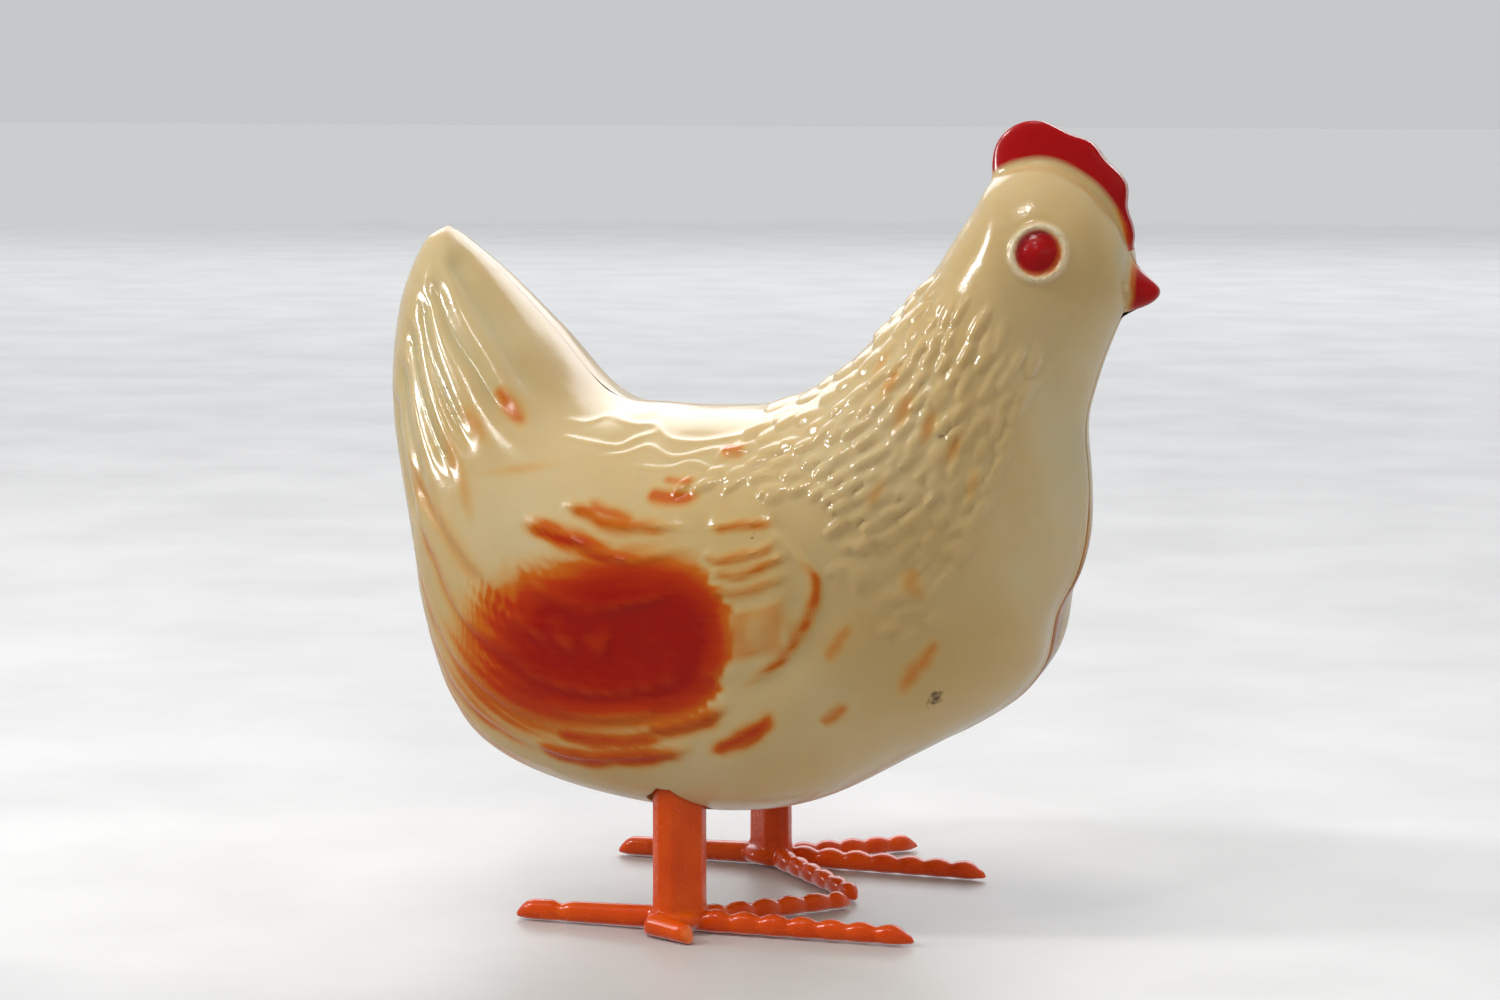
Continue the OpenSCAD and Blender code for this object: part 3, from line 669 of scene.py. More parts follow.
comb_red = step_up(ridge * comb_share, 0.02, 0.26) * step_up(Y, 0.10, 0.55)
beak_red = step_up(beak, 0.7, 1.7) * step_up(Y, 0.05, 0.30)
eye_spot = np.hypot(X - EYE[0] + 0.35, Z - EYE[1] - 0.35)
eye_red = (1 - step_up(eye_spot, 3.1, 3.8)) * on_flank
brow = step_up(T, 15.3, 15.9) * (1 - step_up(Y, 0.9, 2.6)) * (A < np.pi / 2)
red = np.maximum.reduce([comb_red, beak_red, eye_red])
blush = np.maximum(0.85 * brow, 0.55 * (1 - step_up(eye_r, 3.6, 4.1)) * on_flank)
blush = np.maximum(blush, 0.45 * step_up(beak, 0.0, 0.8))
paint = np.maximum(paint, blush)
seam = np.exp(-(Y / 0.45) ** 2) * (0.66 + 0.3 * ripple(12, 14.0))
seam *= 1 - step_up(ridge * comb_share, 0.02, 0.1)
far_band = np.maximum(seam, 0.80 * low_front * np.exp(-(Y / 5.0) ** 4))
# a painted highlight on the raised ring round the eye, where it catches the light
pale = 0.75 * np.exp(-((eye_r - 4.45) / 0.6) ** 2) * on_flank
print("painted share of the skin: %.0f %%" % (100 * (paint > 0.3).mean()))

# %% [markdown]
# ## Closing the shell
#
# Each half is a closed solid: the outer skin, an inner skin a wall's thickness inside it
# with fewer points, and the flat rim between them on the middle plane. The first and the
# last rib shrink to one point each, so the grid ends there in a fan. Then the leg hole and
# the belly hole are cut through, with room round the leg as on the real toy.


# %% Half a shell
LEG_BROAD, LEG_THIN, LEG_GAP = 9.4, 5.8, 0.8
BELLY_HOLE_X, BELLY_HOLE_R = 10.1, 9.8
SEAM_GAP = 0.04


def close_half(outer, values):
    """Outer and inner skin, the two rims between them and the four fans at the ends."""
    inner_t = 1 + rib_t / LAST * (LAST - 1.8)
    inner_a = np.linspace(0, np.pi, INNER_ROUND)
    inner_t, inner_a = np.meshgrid(inner_t, inner_a, indexing="ij")
    inner = flank(inner_t, inner_a, inset=WALL)
    shift = breast_wave(inner_t, inner_a, inner[..., 1])
    inner += shift[..., None] * skin_normal(inner)
    inner[:, [0, -1], 1] = 0
    parts, faces, start = [], [], 0
    for skin in (outer, inner):
        cols = skin.shape[1]
        body = skin[1:-1].reshape(-1, 3)
        tips = skin[[0, -1]].mean(axis=1) * [1, 0, 1]
        parts += [body, tips]
        quads = grid_faces(RIBS - 2, cols, start)
        first, last = start + len(body), start + len(body) + 1
        k = np.arange(cols - 1)
        row = start + (RIBS - 3) * cols
        none = np.full(cols - 1, -1)
        fan_a = np.stack([np.full(cols - 1, first), start + k + 1, start + k, none], -1)
        fan_b = np.stack([np.full(cols - 1, last), row + k, row + k + 1, none], -1)
        skin_faces = np.concatenate([quads, fan_a, fan_b])
        if skin is inner:
            skin_faces = turned(skin_faces)
        faces.append(skin_faces)
        start += len(body) + 2
    co, ci = outer.shape[1], inner.shape[1]
    inner_start = (RIBS - 2) * co + 2
    tips_o = [(RIBS - 2) * co, (RIBS - 2) * co + 1]
    tips_i = [inner_start + (RIBS - 2) * ci, inner_start + (RIBS - 2) * ci + 1]
    k = np.arange(RIBS - 2)
    for column_o, column_i, turn in ((0, 0, False), (co - 1, ci - 1, True)):
        o = np.concatenate([[tips_o[0]], k * co + column_o, [tips_o[1]]])
        i = np.concatenate([[tips_i[0]], inner_start + k * ci + column_i, [tips_i[1]]])
        rim = np.stack([o[:-1], o[1:], i[1:], i[:-1]], -1)
        faces.append(rim[:, ::-1] if turn else rim)
    numbers = {}
    for key, value in values.items():
        tips = np.array([value[0].mean(), value[-1].mean()])
        inside = np.zeros(len(inner[1:-1].reshape(-1, 3)) + 2)
        numbers[key] = np.concatenate([value[1:-1].ravel(), tips, inside])
    return np.concatenate(parts), np.concatenate(faces), numbers


def leg_prism(gap, low, high, side):
    """The leg's eight-sided section, turned by 45 degrees, as a prism."""
    a, b, c = LEG_BROAD / 2 + gap, LEG_THIN / 2 + gap, LEG_THIN * 0.3
    outline = np.array([[a, b - c], [a - c, b], [c - a, b], [-a, b - c], [-a, c - b],
                        [c - a, -b], [a - c, -b], [a, c - b]])
    turn = np.sqrt(0.5)
    outline = np.stack([turn * (outline[:, 0] - outline[:, 1]),
                        turn * (outline[:, 0] + outline[:, 1]) - LEG_Y], -1)
    outline[:, 1] *= -side
    rings = np.stack([np.column_stack([outline, np.full(8, z)]) for z in (low, high)])
    return capped_rings(rings)


def capped_rings(rings):
    """Rows of ring points as a tube with a fan of triangles closing each end."""
    rows, cols = rings.shape[:2]
    points = np.concatenate([rings.reshape(-1, 3), rings[0].mean(0)[None],
                             rings[-1].mean(0)[None]])
    k = np.arange(cols)
    none = np.full(cols, -1)
    low_end, high_end = rows * cols, rows * cols + 1
    caps = [np.stack([np.full(cols, low_end), (k + 1) % cols, k, none], -1),
            np.stack([np.full(cols, high_end), (rows - 1) * cols + k,
                      (rows - 1) * cols + (k + 1) % cols, none], -1)]
    return points, np.concatenate([grid_faces(rows, cols, around=True)] + caps)


def ring_of(radius, count, centre, height):
    """A circle of points at a height."""
    angle = np.arange(count) * 2 * np.pi / count
    return np.column_stack([centre[0] + radius * np.cos(angle),
                            centre[1] + radius * np.sin(angle), np.full(count, height)])


shells = {}
for name, side in (("right_shell_moulding", 1), ("left_shell_moulding", -1)):
    push = common + (lip if side > 0 else beyond)
    outer = BASE + NORMAL * push[..., None] + UP * comb[..., None] + AHEAD * beak[..., None]
    outer[..., 1] = np.minimum(outer[..., 1], 0)
    outer[:, [0, -1], 1] = 0
    joint = seam * (1 - 0.7 * low_front) if side > 0 else far_band
    points, faces, numbers = close_half(outer, {"paint": paint, "red": red, "seam": joint,
                                                "pale": pale})
    points[:, 1] -= SEAM_GAP / 2
    points[:, 1] *= side
    shell = make_piece(name, points, faces, numbers)
    hole = make_piece("leg_hole", *leg_prism(LEG_GAP, BELLY_UP - 6, YOKE_LOW - 2, -side))
    combine(shell, hole, "DIFFERENCE")
    ring = [ring_of(BELLY_HOLE_R, 72, (BELLY_HOLE_X, 0.0), z)
            for z in (BELLY_UP - 3, BELLY_UP + 6)]
    combine(shell, make_piece("belly_hole", *capped_rings(np.stack(ring))), "DIFFERENCE")
    smooth_but_sharp(shell, 50)
    shells[name] = shell
    print(name, len(shell.data.polygons), "faces,",
          sorted(a.name for a in shell.data.attributes if a.data_type == "FLOAT"))

# %% [markdown]
# ## Legs and feet
#
# Each leg is one moulding of clear orange plastic: an eight-sided shaft and a foot with
# knuckled toes. A toe is a tube whose width and height swell and shrink along it, with a
# flat sole and a claw at its end. Shaft, ankle and toes are separate solids at first. A
# voxel remesh then fuses them and rounds the corners between them, as the mould's fillets
# do, and a light smoothing takes the steps out.


# %% One toe
KNUCKLE = 5.2
CLAW_LONG, BREAK_LONG = 3.4, 2.2


def blunt_end(share):
    """A quarter circle: sqrt(1 - (1 - share)^2), which is 1 from share 1 on."""
    return np.sqrt(np.clip(1 - (1 - np.clip(share, 0, 1)) ** 2, 0.004, 1))


def toe(degrees, long, thick, swell, side, cut_off=False, knob=None, root=(0.0, 0.0)):
    """A ring at s has a half width and a height. Both are thick, less a taper to the tip,
    less swell * (1 - |sin|) at the knuckles, and both close in over the claw. A ring's
    points are a rounded box that stands on the sole. A toe that is cut off has blunt ends,
    and knob is where a toe without knuckles has its one notch."""
    s = np.linspace(-1.5, long, 110)
    share = np.clip(s / long, 0, 1)
    body = 1 - 0.20 * share
    beads = 1 - swell * (1 - np.abs(np.sin(np.pi * (s + 1.2) / KNUCKLE)) ** 0.8)
    if knob:
        beads = 1 - 0.16 * np.exp(-((s - knob) / 1.1) ** 2) + 0.05 * step_up(s, knob, knob + 2)
    if cut_off:
        claw = blunt_end((long - s) / BREAK_LONG) * blunt_end((s - s[0]) / BREAK_LONG)
    else:
        claw = 0.10 + 0.90 * np.sin(np.clip((long - s) / CLAW_LONG, 0, 1) * np.pi / 2) ** 0.8
    half = thick / 2 * body * beads * claw
    tall = thick * body * beads * claw
    lift = 0.12 * thick * (1 - beads) + 0.45 * (1 - claw) * (not cut_off)
    ring = np.arange(28) * 2 * np.pi / 28
    across = np.sign(np.cos(ring)) * np.abs(np.cos(ring)) ** 0.85
    upward = 0.5 + 0.5 * np.sign(np.sin(ring)) * np.abs(np.sin(ring)) ** 0.85
    v = half[:, None] * across[None]
    z = lift[:, None] + tall[:, None] * upward[None]
    c, d = np.cos(np.radians(degrees)), np.sin(np.radians(degrees))
    x = root[0] + s[:, None] * c - v * d
    y = -LEG_Y + root[1] + s[:, None] * d + v * c
    return capped_rings(np.stack([x, y * side, z], -1))


# the right foot's outer toe is broken off short, and the stub lies against the shaft
STUB_TURN = -26.0
STUB_LONG = 9.4
STUB_ROOT = (-3.2, -5.2)
# the tips of the two inner toes nearly meet on the middle plane
INNER_TOE = (LEG_Y - 1.6) / np.sin(np.radians(46.8))


# %% One leg
TENON_R, PIN_HOLE_R = 2.3, 0.83
VOXEL = 0.34


def leg(name, side, broken):
    """Shaft, tenon, ankle and four toes, fused, smoothed and drilled for the cross pin."""
    shaft_z = np.linspace(0.6, YOKE_LOW, 24)
    base_points, _ = leg_prism(0, 0, 1, -1)
    outline = base_points[:8, :2] - [0, -LEG_Y]
    grow = 1 + 0.05 * np.exp(-shaft_z / 3.0) - 0.012 * shaft_z / YOKE_LOW
    rings = np.stack([np.column_stack([outline * g + [0, -LEG_Y], np.full(8, z)])
                      for g, z in zip(grow, shaft_z)])
    rings[..., 1] *= side
    piece = make_piece(name, *capped_rings(rings))
    extras = [
        toe(1.5, 42.0, 4.2, 0.26, side), toe(46.8, INNER_TOE, 4.0, 0.26, side),
        (toe(STUB_TURN, STUB_LONG, 4.0, 0.0, side, True, root=STUB_ROOT) if broken else
         toe(-41.5, 31.0, 3.9, 0.24, side)),
        toe(180, 30.5, 4.2, 0.0, side, knob=22.0)]
    tenon = np.stack([ring_of(TENON_R, 40, (0, -LEG_Y * side), z)
                      for z in (YOKE_LOW - 1, YOKE_TOP)])
    angle = np.linspace(0.02, np.pi - 0.02, 20)
    ankle = np.stack([ring_of(5.0 * np.sin(q) ** 0.8, 40, (-0.4, -LEG_Y * side),
                              2.2 - 2.1 * np.cos(q)) for q in angle])
    for points, faces in extras + [capped_rings(tenon), capped_rings(ankle)]:
        combine(piece, make_piece("extra", points, faces), "UNION")
    fuse = piece.modifiers.new("fuse", "REMESH")
    fuse.mode = "VOXEL"
    fuse.voxel_size = VOXEL * MM
    even = piece.modifiers.new("even", "SMOOTH")
    even.factor = 0.5
    even.iterations = 4
    apply_modifiers(piece)
    drill = np.stack([ring_of(PIN_HOLE_R, 32, (0, 0), z) for z in (-7, 7)])
    drill = np.stack([drill[..., 2], drill[..., 0] - LEG_Y * side,
                      drill[..., 1] + YOKE_LOW + YOKE_THICK / 2], -1)
    combine(piece, make_piece("drill", *capped_rings(drill)), "DIFFERENCE")
    smooth_but_sharp(piece, 60)
    print(name, len(piece.data.polygons), "faces")
    return piece


legs = {"right_leg_moulding": leg("right_leg_moulding", 1, True),
        "left_leg_moulding": leg("left_leg_moulding", -1, False)}

# %% [markdown]
# ## Return springs
#
# Inside, two small coil springs of steel wire stand on the yoke and push the hen up. A
# coil is a circle carried along a helix: the height of the wire's middle rises slowly over
# the closed turn at each end and evenly between them.


# %% Coils
def coil(name, y, low, high):
    """A tube of eight sides round the helix (r cos, r sin, height(turn))."""
    radius, wire, turns = 3.6, 0.8, 7
    turn = np.linspace(0, turns, turns * 30 + 1)
    shut = wire * 1.03
    run = (high - low - wire - 2 * shut) / (turns - 2)
    height = (low + wire / 2 + shut * np.minimum(turn, 1)
              + run * np.clip(turn - 1, 0, turns - 2)
              + shut * np.maximum(turn - turns + 1, 0))
    angle = 2 * np.pi * turn
    ring = np.arange(8) * 2 * np.pi / 8
    r = radius + wire / 2 * np.cos(ring)[None]
    points = np.stack([r * np.cos(angle)[:, None], y + r * np.sin(angle)[:, None],
                       height[:, None] + wire / 2 * np.sin(ring)[None]], -1)
    piece = make_piece(name, *capped_rings(points))
    smooth_but_sharp(piece, 60)
    return piece


springs = {"right_spring_coil": coil("right_spring_coil", -SPRING_Y, spring_lo[2], spring_hi[2]),
           "left_spring_coil": coil("left_spring_coil", SPRING_Y, spring_lo[2], spring_hi[2])}
print("springs:", sorted(springs))

# %% [markdown]
# ## Colour and nodes
#
# Colours are written as they look on a screen, in hex, and one function turns them linear.
# One more function adds a node with its settings and links. Patterns read the object's own
# coordinates in metres, so a pattern that repeats every s millimetres has scale 1000 / s.


# %% Tools for materials
def linear(hex_colour):
    """A colour channel c is c / 12.92 up to 0.04045, and ((c + 0.055) / 1.055)^2.4 above."""
    c = np.array([int(hex_colour[k:k + 2], 16) for k in (1, 3, 5)]) / 255
    c = np.where(c <= 0.04045, c / 12.92, ((c + 0.055) / 1.055) ** 2.4)
    return tuple(c.tolist()) + (1.0,)


def per_mm(size):
    """Scale of a pattern whose features are size millimetres wide."""
    return 1 / (size * MM)


def add(tree, kind, inputs=None, **settings):
    """One node. inputs holds a value, or a socket to link from, for each input."""
    made = tree.nodes.new(kind)
    for key, value in settings.items():
        setattr(made, key, value)
    for key, value in (inputs or {}).items():
        if isinstance(value, bpy.types.NodeSocket):
            tree.links.new(value, made.inputs[key])
        else:
            made.inputs[key].default_value = value
    return made


def new_material(name):
    """An empty material with its surface node and the object's coordinates."""
    material = bpy.data.materials.new(name)
    material.use_nodes = True
    tree = material.node_tree
    tree.nodes.clear()
    surface = add(tree, "ShaderNodeBsdfPrincipled")
    add(tree, "ShaderNodeOutputMaterial", {"Surface": surface.outputs[0]})
    place = add(tree, "ShaderNodeTexCoord").outputs["Object"]
    return material, tree, surface, place


def wear(pieces, material):
    """Gives each piece the material and no other."""
    for piece in pieces:
        piece.data.materials.clear()
        piece.data.materials.append(material)


def ramp(tree, factor, stops):
    """A colour ramp through (place, hex colour) stops."""
    made = add(tree, "ShaderNodeValToRGB", {"Fac": factor})
    elements = made.color_ramp.elements
    while len(elements) < len(stops):
        elements.new(0.5)
    for element, (place, colour) in zip(elements, stops):
        element.position = place
        element.color = linear(colour)
    return made.outputs["Color"]


def noise(tree, place, size, detail=2.0, distortion=0.0):
    """Noise whose features are size millimetres wide."""
    return add(tree, "ShaderNodeTexNoise", {"Vector": place, "Scale": per_mm(size),
                                            "Detail": detail,
                                            "Distortion": distortion}).outputs[0]


def stretched_noise(tree, place, sizes, turn=0.0, detail=2.0, distortion=0.0):
    """Noise whose features have a size of their own, in millimetres, along x, y and z."""
    made = add(tree, "ShaderNodeMapping", {
        "Vector": place, "Scale": tuple(per_mm(size) for size in sizes),
        "Rotation": (0.0, turn, 0.0)})
    return add(tree, "ShaderNodeTexNoise", {"Vector": made.outputs[0], "Scale": 1.0,
                                            "Detail": detail,
                                            "Distortion": distortion}).outputs[0]


def remap(tree, value, low, high, to_low=0.0, to_high=1.0):
    """low to high becomes to_low to to_high, and nothing goes past them."""
    return add(tree, "ShaderNodeMapRange", {"Value": value, "From Min": low, "From Max": high,
                                            "To Min": to_low, "To Max": to_high}).outputs[0]


def calc(tree, operation, *numbers, **settings):
    """One step of arithmetic on numbers or sockets."""
    return add(tree, "ShaderNodeMath", dict(enumerate(numbers)), operation=operation,
               **settings).outputs[0]


def mix(tree, factor, a, b):
    """Colour a where the factor is 0 and colour b where it is 1."""
    return add(tree, "ShaderNodeMix", {"Factor": factor, "A": a, "B": b},
               data_type="RGBA").outputs["Result"]


def bump(tree, height, strength, depth, **more):
    """A normal tilted by a height of up to depth millimetres."""
    return add(tree, "ShaderNodeBump", {"Height": height, "Strength": strength,
                                        "Distance": depth * MM, **more}).outputs[0]


def distance(tree, place, centre):
    """Distance in metres from a centre in millimetres."""
    return add(tree, "ShaderNodeVectorMath", {0: place, 1: tuple(c * MM for c in centre)},
               operation="DISTANCE").outputs["Value"]


def set_values(surface, **numbers):
    """Sets the surface's constants; an underscore stands for a space in a socket's name."""
    for key, value in numbers.items():
        surface.inputs[key.replace("_", " ")].default_value = value


POLYSTYRENE_IOR = 1.59

# %% [markdown]
# ## Cream polystyrene, airbrushed
#
# The shell is general-purpose polystyrene, coloured cream and moulded against a polished
# tool. The eye sees a waxy skin: light goes in, spreads through the wall and comes out warm,
# while the surface itself stays glossy. It has yellowed unevenly with age. The airbrush
# left orange that turns red where it is thick, with fine streaks along the feathers, and
# the solid red parts are thick and smooth. Tiny pits break the highlights up. The pits of
# the real surface are finer than a tenth of a millimetre, too fine to show, so they are
# drawn at 0.45 mm.

# %% Shell material
shell_mat, tree, surface, place = new_material("airbrushed cream polystyrene")
blown, solid, joint, eye_ring_highlight = (
    add(tree, "ShaderNodeAttribute", attribute_name=name).outputs["Fac"]
    for name in ("paint", "red", "seam", "pale"))

clouds = noise(tree, place, 38, 3.0)
cream = ramp(tree, clouds, [(0.30, "#C5A76D"), (0.5, "#CDB482"), (0.70, "#D3BF95")])
mottle = noise(tree, place, 7, 4.0)
cream = mix(tree, remap(tree, mottle, 0.52, 0.75, 0.0, 0.30), cream, linear("#CFAE78"))

# streaks run along the feathers: 9 mm long and 1.1 mm wide
streaks = stretched_noise(tree, place, (9, 6, 1.1), 0.12, 3.0, 0.5)
grain = noise(tree, place, 0.9)
centred = calc(tree, "SUBTRACT", streaks, 0.5)
grained = calc(tree, "SUBTRACT", grain, 0.5)
uneven = calc(tree, "MULTIPLY_ADD", grained, 0.3, centred)
strength = calc(tree, "MULTIPLY", uneven, blown)
blown = calc(tree, "MULTIPLY_ADD", strength, 0.25, blown, use_clamp=True)
paint_colour = ramp(tree, blown, [(0.0, "#D8AC5C"), (0.25, "#CD8A30"), (0.45, "#C66414"),
                                  (0.66, "#BA3606"), (0.97, "#A01404")])
cover = remap(tree, blown, 0.04, 0.42)
skin_colour = mix(tree, cover, cream, paint_colour)
crisp = remap(tree, solid, 0.12, 0.85)
reds = ramp(tree, clouds, [(0.3, "#A00407"), (0.7, "#B4090A")])
skin_colour = mix(tree, crisp, skin_colour, reds)
glue = ramp(tree, mottle, [(0.35, "#8A4A1C"), (0.65, "#C0702C")])
skin_colour = mix(tree, joint, skin_colour, glue)
# painted highlight: the pitted ring round the eye is lightened to near white, broken up by the
# grain
painted_ring_highlight = calc(tree, "MULTIPLY", grain, eye_ring_highlight)
skin_colour = mix(tree, painted_ring_highlight, skin_colour, linear("#FBF3E2"))
# one mask for the painted eye-ring highlight and, below, the dark specks
specks_and_ring_highlight = painted_ring_highlight

# age and handling left small dark specks and one smudge on the right side: centre and
# radius of each in millimetres
SPECKS = [((36.6, -22.5, 95.2), 0.42), ((44.8, -23.5, 42.7), 0.75), ((43.2, -23.0, 41.4), 0.3),
          ((-45.7, -21.5, 93.0), 0.3), ((-23.5, -26.5, 79.3), 0.35), ((45.8, -26.0, 88.0), 0.25),
          ((-33.5, -33.0, 51.8), 0.25), ((15.5, -35.0, 71.0), 0.2)]
for centre, radius in SPECKS:
    ragged = calc(tree, "MULTIPLY_ADD", grained, 3.0 * MM, distance(tree, place, centre))
    spot = remap(tree, ragged, 0.6 * radius * MM, 2.2 * radius * MM, 0.85, 0.0)
    skin_colour = mix(tree, spot, skin_colour, linear("#4A2A10"))
    specks_and_ring_highlight = calc(tree, "MAXIMUM", specks_and_ring_highlight, spot)
tree.links.new(skin_colour, surface.inputs["Base Color"])

# shine: glossy, a little uneven, with fine pits and a faint ripple of the moulding
tree.links.new(remap(tree, mottle, 0.3, 0.7, 0.14, 0.24), surface.inputs["Roughness"])
pitted = bump(tree, noise(tree, place, 0.45), 0.5, 0.03)
wavy = bump(tree, noise(tree, place, 3.2), 0.6, 0.12, Normal=pitted)
tree.links.new(wavy, surface.inputs["Normal"])
# light sinks into the bare plastic, not into the paint, the specks or the painted highlight round
# the eye
coated = calc(tree, "MAXIMUM", calc(tree, "MAXIMUM", cover, crisp), specks_and_ring_highlight)
tree.links.new(remap(tree, coated, 0.0, 1.0, 0.45, 0.08), surface.inputs["Subsurface Weight"])
set_values(surface, IOR=POLYSTYRENE_IOR, Subsurface_Radius=(1.0, 0.62, 0.30),
       Subsurface_Scale=3.5 * MM)
wear(shells.values(), shell_mat)
print("shell material has %d nodes" % len(tree.nodes))

# %% [markdown]
# ## Orange polystyrene
#
# The legs are clear polystyrene tinted orange, so light spreads a long way inside them. The
# tint is a little uneven, the sharp edges of the shaft are scuffed pale, and the stub of the
# broken toe shows a paler face.

# %% Leg material
leg_mat, tree, surface, place = new_material("tinted orange polystyrene")
clouds = noise(tree, place, 9, 3.0)
tint = ramp(tree, clouds, [(0.3, "#D24402"), (0.55, "#DE5004"), (0.75, "#E85E08")])
scuffs = noise(tree, place, 0.8, 3.0)
edges = add(tree, "ShaderNodeNewGeometry").outputs["Pointiness"]
scuffed_edge = calc(tree, "MULTIPLY", remap(tree, edges, 0.53, 0.60),
                    remap(tree, scuffs, 0.50, 0.66, 0.0, 0.25))
tinted = mix(tree, scuffed_edge, tint, linear("#F2A070"))
stub_way = np.radians(STUB_TURN)
stub_tip = (float(STUB_ROOT[0] + STUB_LONG * np.cos(stub_way)),
            float(-LEG_Y + STUB_ROOT[1] + STUB_LONG * np.sin(stub_way)), 1.8)
torn = remap(tree, distance(tree, place, stub_tip), 1.0 * MM, 2.2 * MM, 0.6, 0.0)
tree.links.new(mix(tree, torn, tinted, linear("#F58A45")), surface.inputs["Base Color"])
tree.links.new(remap(tree, scuffs, 0.3, 0.7, 0.22, 0.28), surface.inputs["Roughness"])
tree.links.new(bump(tree, clouds, 0.3, 0.05), surface.inputs["Normal"])
set_values(surface, IOR=POLYSTYRENE_IOR, Subsurface_Weight=0.35,
       Subsurface_Radius=(1.0, 0.30, 0.05), Subsurface_Scale=3.0 * MM)
wear(legs.values(), leg_mat)
print("leg material has %d nodes" % len(tree.nodes))

# %% [markdown]
# ## What is inside
#
# The yoke is moulded in the legs' plastic, the chute in unpainted cream that keeps the faint
# swirl of quick moulding. Springs and pins are bright drawn steel with fine lines along the
# wire.

# %% Materials for the hidden pieces
chute_mat, tree, surface, place = new_material("moulded cream polystyrene")
swirl = noise(tree, place, 14, 4.0, 1.2)
tree.links.new(ramp(tree, swirl, [(0.3, "#C9B78B"), (0.7, "#DDD0AC")]),
               surface.inputs["Base Color"])
tree.links.new(bump(tree, noise(tree, place, 0.6), 0.4, 0.03), surface.inputs["Normal"])
set_values(surface, Roughness=0.42, IOR=POLYSTYRENE_IOR, Subsurface_Weight=0.3,
       Subsurface_Scale=3.0 * MM)

wire_mat, tree, surface, place = new_material("drawn steel wire")
lines = stretched_noise(tree, place, (3, 0.15, 0.15))
tree.links.new(ramp(tree, lines, [(0.3, "#8E8D8B"), (0.7, "#B9B8B5")]),
               surface.inputs["Base Color"])
tree.links.new(remap(tree, lines, 0.0, 1.0, 0.22, 0.42), surface.inputs["Roughness"])
set_values(surface, Metallic=1.0)
wear(springs.values(), wire_mat)

INSIDE = {"egg_chute": chute_mat, "leg_yoke": leg_mat, "yoke_pins": wire_mat}
for node_name, material in INSIDE.items():
    mesh = frame["nodes"][node_name].data
    if not mesh.materials:
        mesh.materials.append(material)
    for k in range(len(mesh.materials)):
        mesh.materials[k] = material
print("hidden pieces finished:", sorted(INSIDE))

# %% [markdown]
# ## Riding on the frame
#
# The shells ride on the body that slides, the legs and springs on the one that stands. In
# the real toy the springs flatten towards the yoke as the hen goes down: of their 20 mm,
# 9 mm are left.

# %% Tie the pieces to the bodies
for name, node_name in (("right_shell_moulding", "right_shell"),
                        ("left_shell_moulding", "left_shell")):
    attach(shells[name], "hen")
    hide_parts(node_name)
for name, node_name in (("right_leg_moulding", "right_leg"), ("left_leg_moulding", "left_leg")):
    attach(legs[name], "legs")
    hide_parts(node_name)
for name, node_name in (("right_spring_coil", "right_spring"),
                        ("left_spring_coil", "left_spring")):
    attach(springs[name], "legs")
    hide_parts(node_name)
    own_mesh(springs[name])

# %% [markdown]
# ## Floor, light and camera
#
# A pale matt floor. Broad soft light comes from behind and above, as from a window, and
# shines through the shell. Two weaker panels lift the shade without a highlight of their
# own, and three small ones put the bright glints on the relief. The camera stands at the
# hen's right, a little forward and a little above, with an 85 mm lens.

# %% Floor
floor_mesh = bpy.data.meshes.new("floor")
r = 9.0
floor_mesh.from_pydata([(-r, -r, 0), (r, -r, 0), (r, r, 0), (-r, r, 0)], [], [(0, 1, 2, 3)])
floor = bpy.data.objects.new("floor", floor_mesh)
bpy.context.scene.collection.objects.link(floor)
floor.location.z = -0.0002
floor.visible_glossy = False
floor_mat, tree, surface, place = new_material("pale painted board")
pale_board = ramp(tree, noise(tree, place, 60, 5.0), [(0.35, "#C4C3C2"), (0.65, "#D0CFCE")])
# in front, on the camera's side, the board lies in shade
forward = add(tree, "ShaderNodeSeparateXYZ", {"Vector": place}).outputs["Y"]
shade = remap(tree, forward, -0.075, -0.22)
tree.links.new(mix(tree, shade, pale_board, linear("#6A6A6C")), surface.inputs["Base Color"])
# painted light: the board glows more and more with distance, so it fades into the bright room
# behind it
ROOM = "#EEF0F2"
apart = add(tree, "ShaderNodeVectorMath", {0: place}, operation="LENGTH").outputs["Value"]
tree.links.new(remap(tree, apart, 0.9, 3.0, 0.0, 0.38), surface.inputs["Emission Strength"])
set_values(surface, Roughness=0.42, Emission_Color=linear(ROOM))
floor_mesh.materials.append(floor_mat)


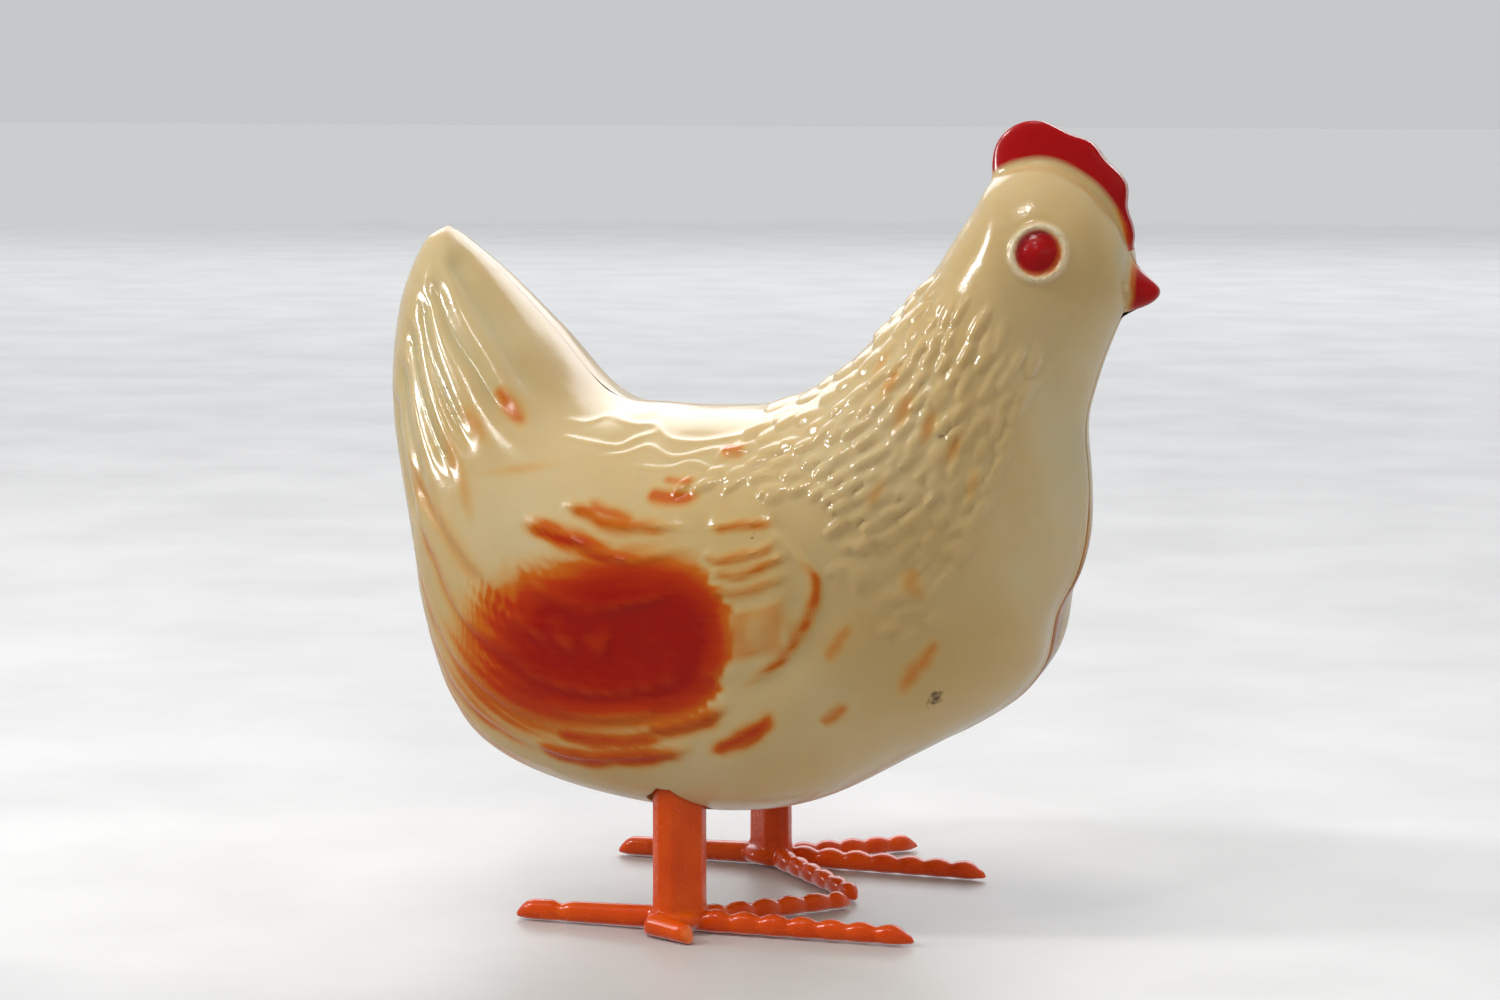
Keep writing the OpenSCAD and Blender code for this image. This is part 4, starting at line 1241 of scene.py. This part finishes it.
# %% Lights and world
def panel(name, place, aim, width, height, watts, colour):
    """A soft rectangular light at a place, aimed at a point, both in metres."""
    lamp = bpy.data.lights.new(name, "AREA")
    lamp.shape = "RECTANGLE"
    lamp.size, lamp.size_y = width, height
    lamp.energy = watts
    lamp.color = linear(colour)[:3]
    holder = bpy.data.objects.new(name, lamp)
    bpy.context.scene.collection.objects.link(holder)
    holder.location = place
    holder.rotation_euler = (Vector(aim) - Vector(place)).to_track_quat("-Z", "Y").to_euler()
    return holder


panel("window", (-0.35, 1.9, 1.35), (0, 0, 0.07), 2.6, 1.5, 32.0, "#F7FAFF")
# the top and the fill only lift the shade; they make no highlight of their own
for name, place, watts in (("top", (-0.20, -0.10, 1.15), 5.0), ("fill", (0.75, -1.0, 0.60), 5.5)):
    panel(name, place, (0, 0, 0.07), 0.8, 0.6, watts, "#FFFBF4").visible_glossy = False
for name, place, aim_high, wide, watts in (
        ("glint_high", (-0.70, -0.42, 0.72), 0.08, 0.12, 3.2),
        ("glint_left", (-0.98, -0.36, 0.42), 0.06, 0.10, 2.4),
        ("glint_top", (-0.12, -0.50, 0.92), 0.08, 0.05, 0.8)):
    panel(name, place, (0, 0, aim_high), wide, wide, watts, "#FFFFFF")
# the room is bright behind the hen, where the window is, and dim behind the camera
world = bpy.data.worlds.new("soft room")
bpy.context.scene.world = world
world.use_nodes = True
tree = world.node_tree
direction = add(tree, "ShaderNodeTexCoord").outputs["Generated"]
to_back = add(tree, "ShaderNodeSeparateXYZ", {"Vector": direction}).outputs["Y"]
sky = tree.nodes["Background"].inputs
tree.links.new(remap(tree, to_back, -0.3, 0.6, 0.11, 0.66), sky["Strength"])
sky["Color"].default_value = linear(ROOM)
bpy.context.scene.view_settings.view_transform = "Standard"

# %% Camera
AZIMUTH, ELEVATION, DISTANCE = np.radians(17.436), np.radians(6.872), 632 * MM
AIM = Vector((4.33 * MM, 0, 72.376 * MM))
back = Vector((np.sin(AZIMUTH) * np.cos(ELEVATION), -np.cos(AZIMUTH) * np.cos(ELEVATION),
               np.sin(ELEVATION)))
lens = bpy.data.cameras.new("camera")
lens.lens = 85
lens.sensor_width = 36
lens.clip_start = 0.01
camera = bpy.data.objects.new("camera", lens)
bpy.context.scene.collection.objects.link(camera)
camera.location = AIM + back * DISTANCE
camera.rotation_euler = (-back).to_track_quat("-Z", "Y").to_euler()
bpy.context.scene.camera = camera
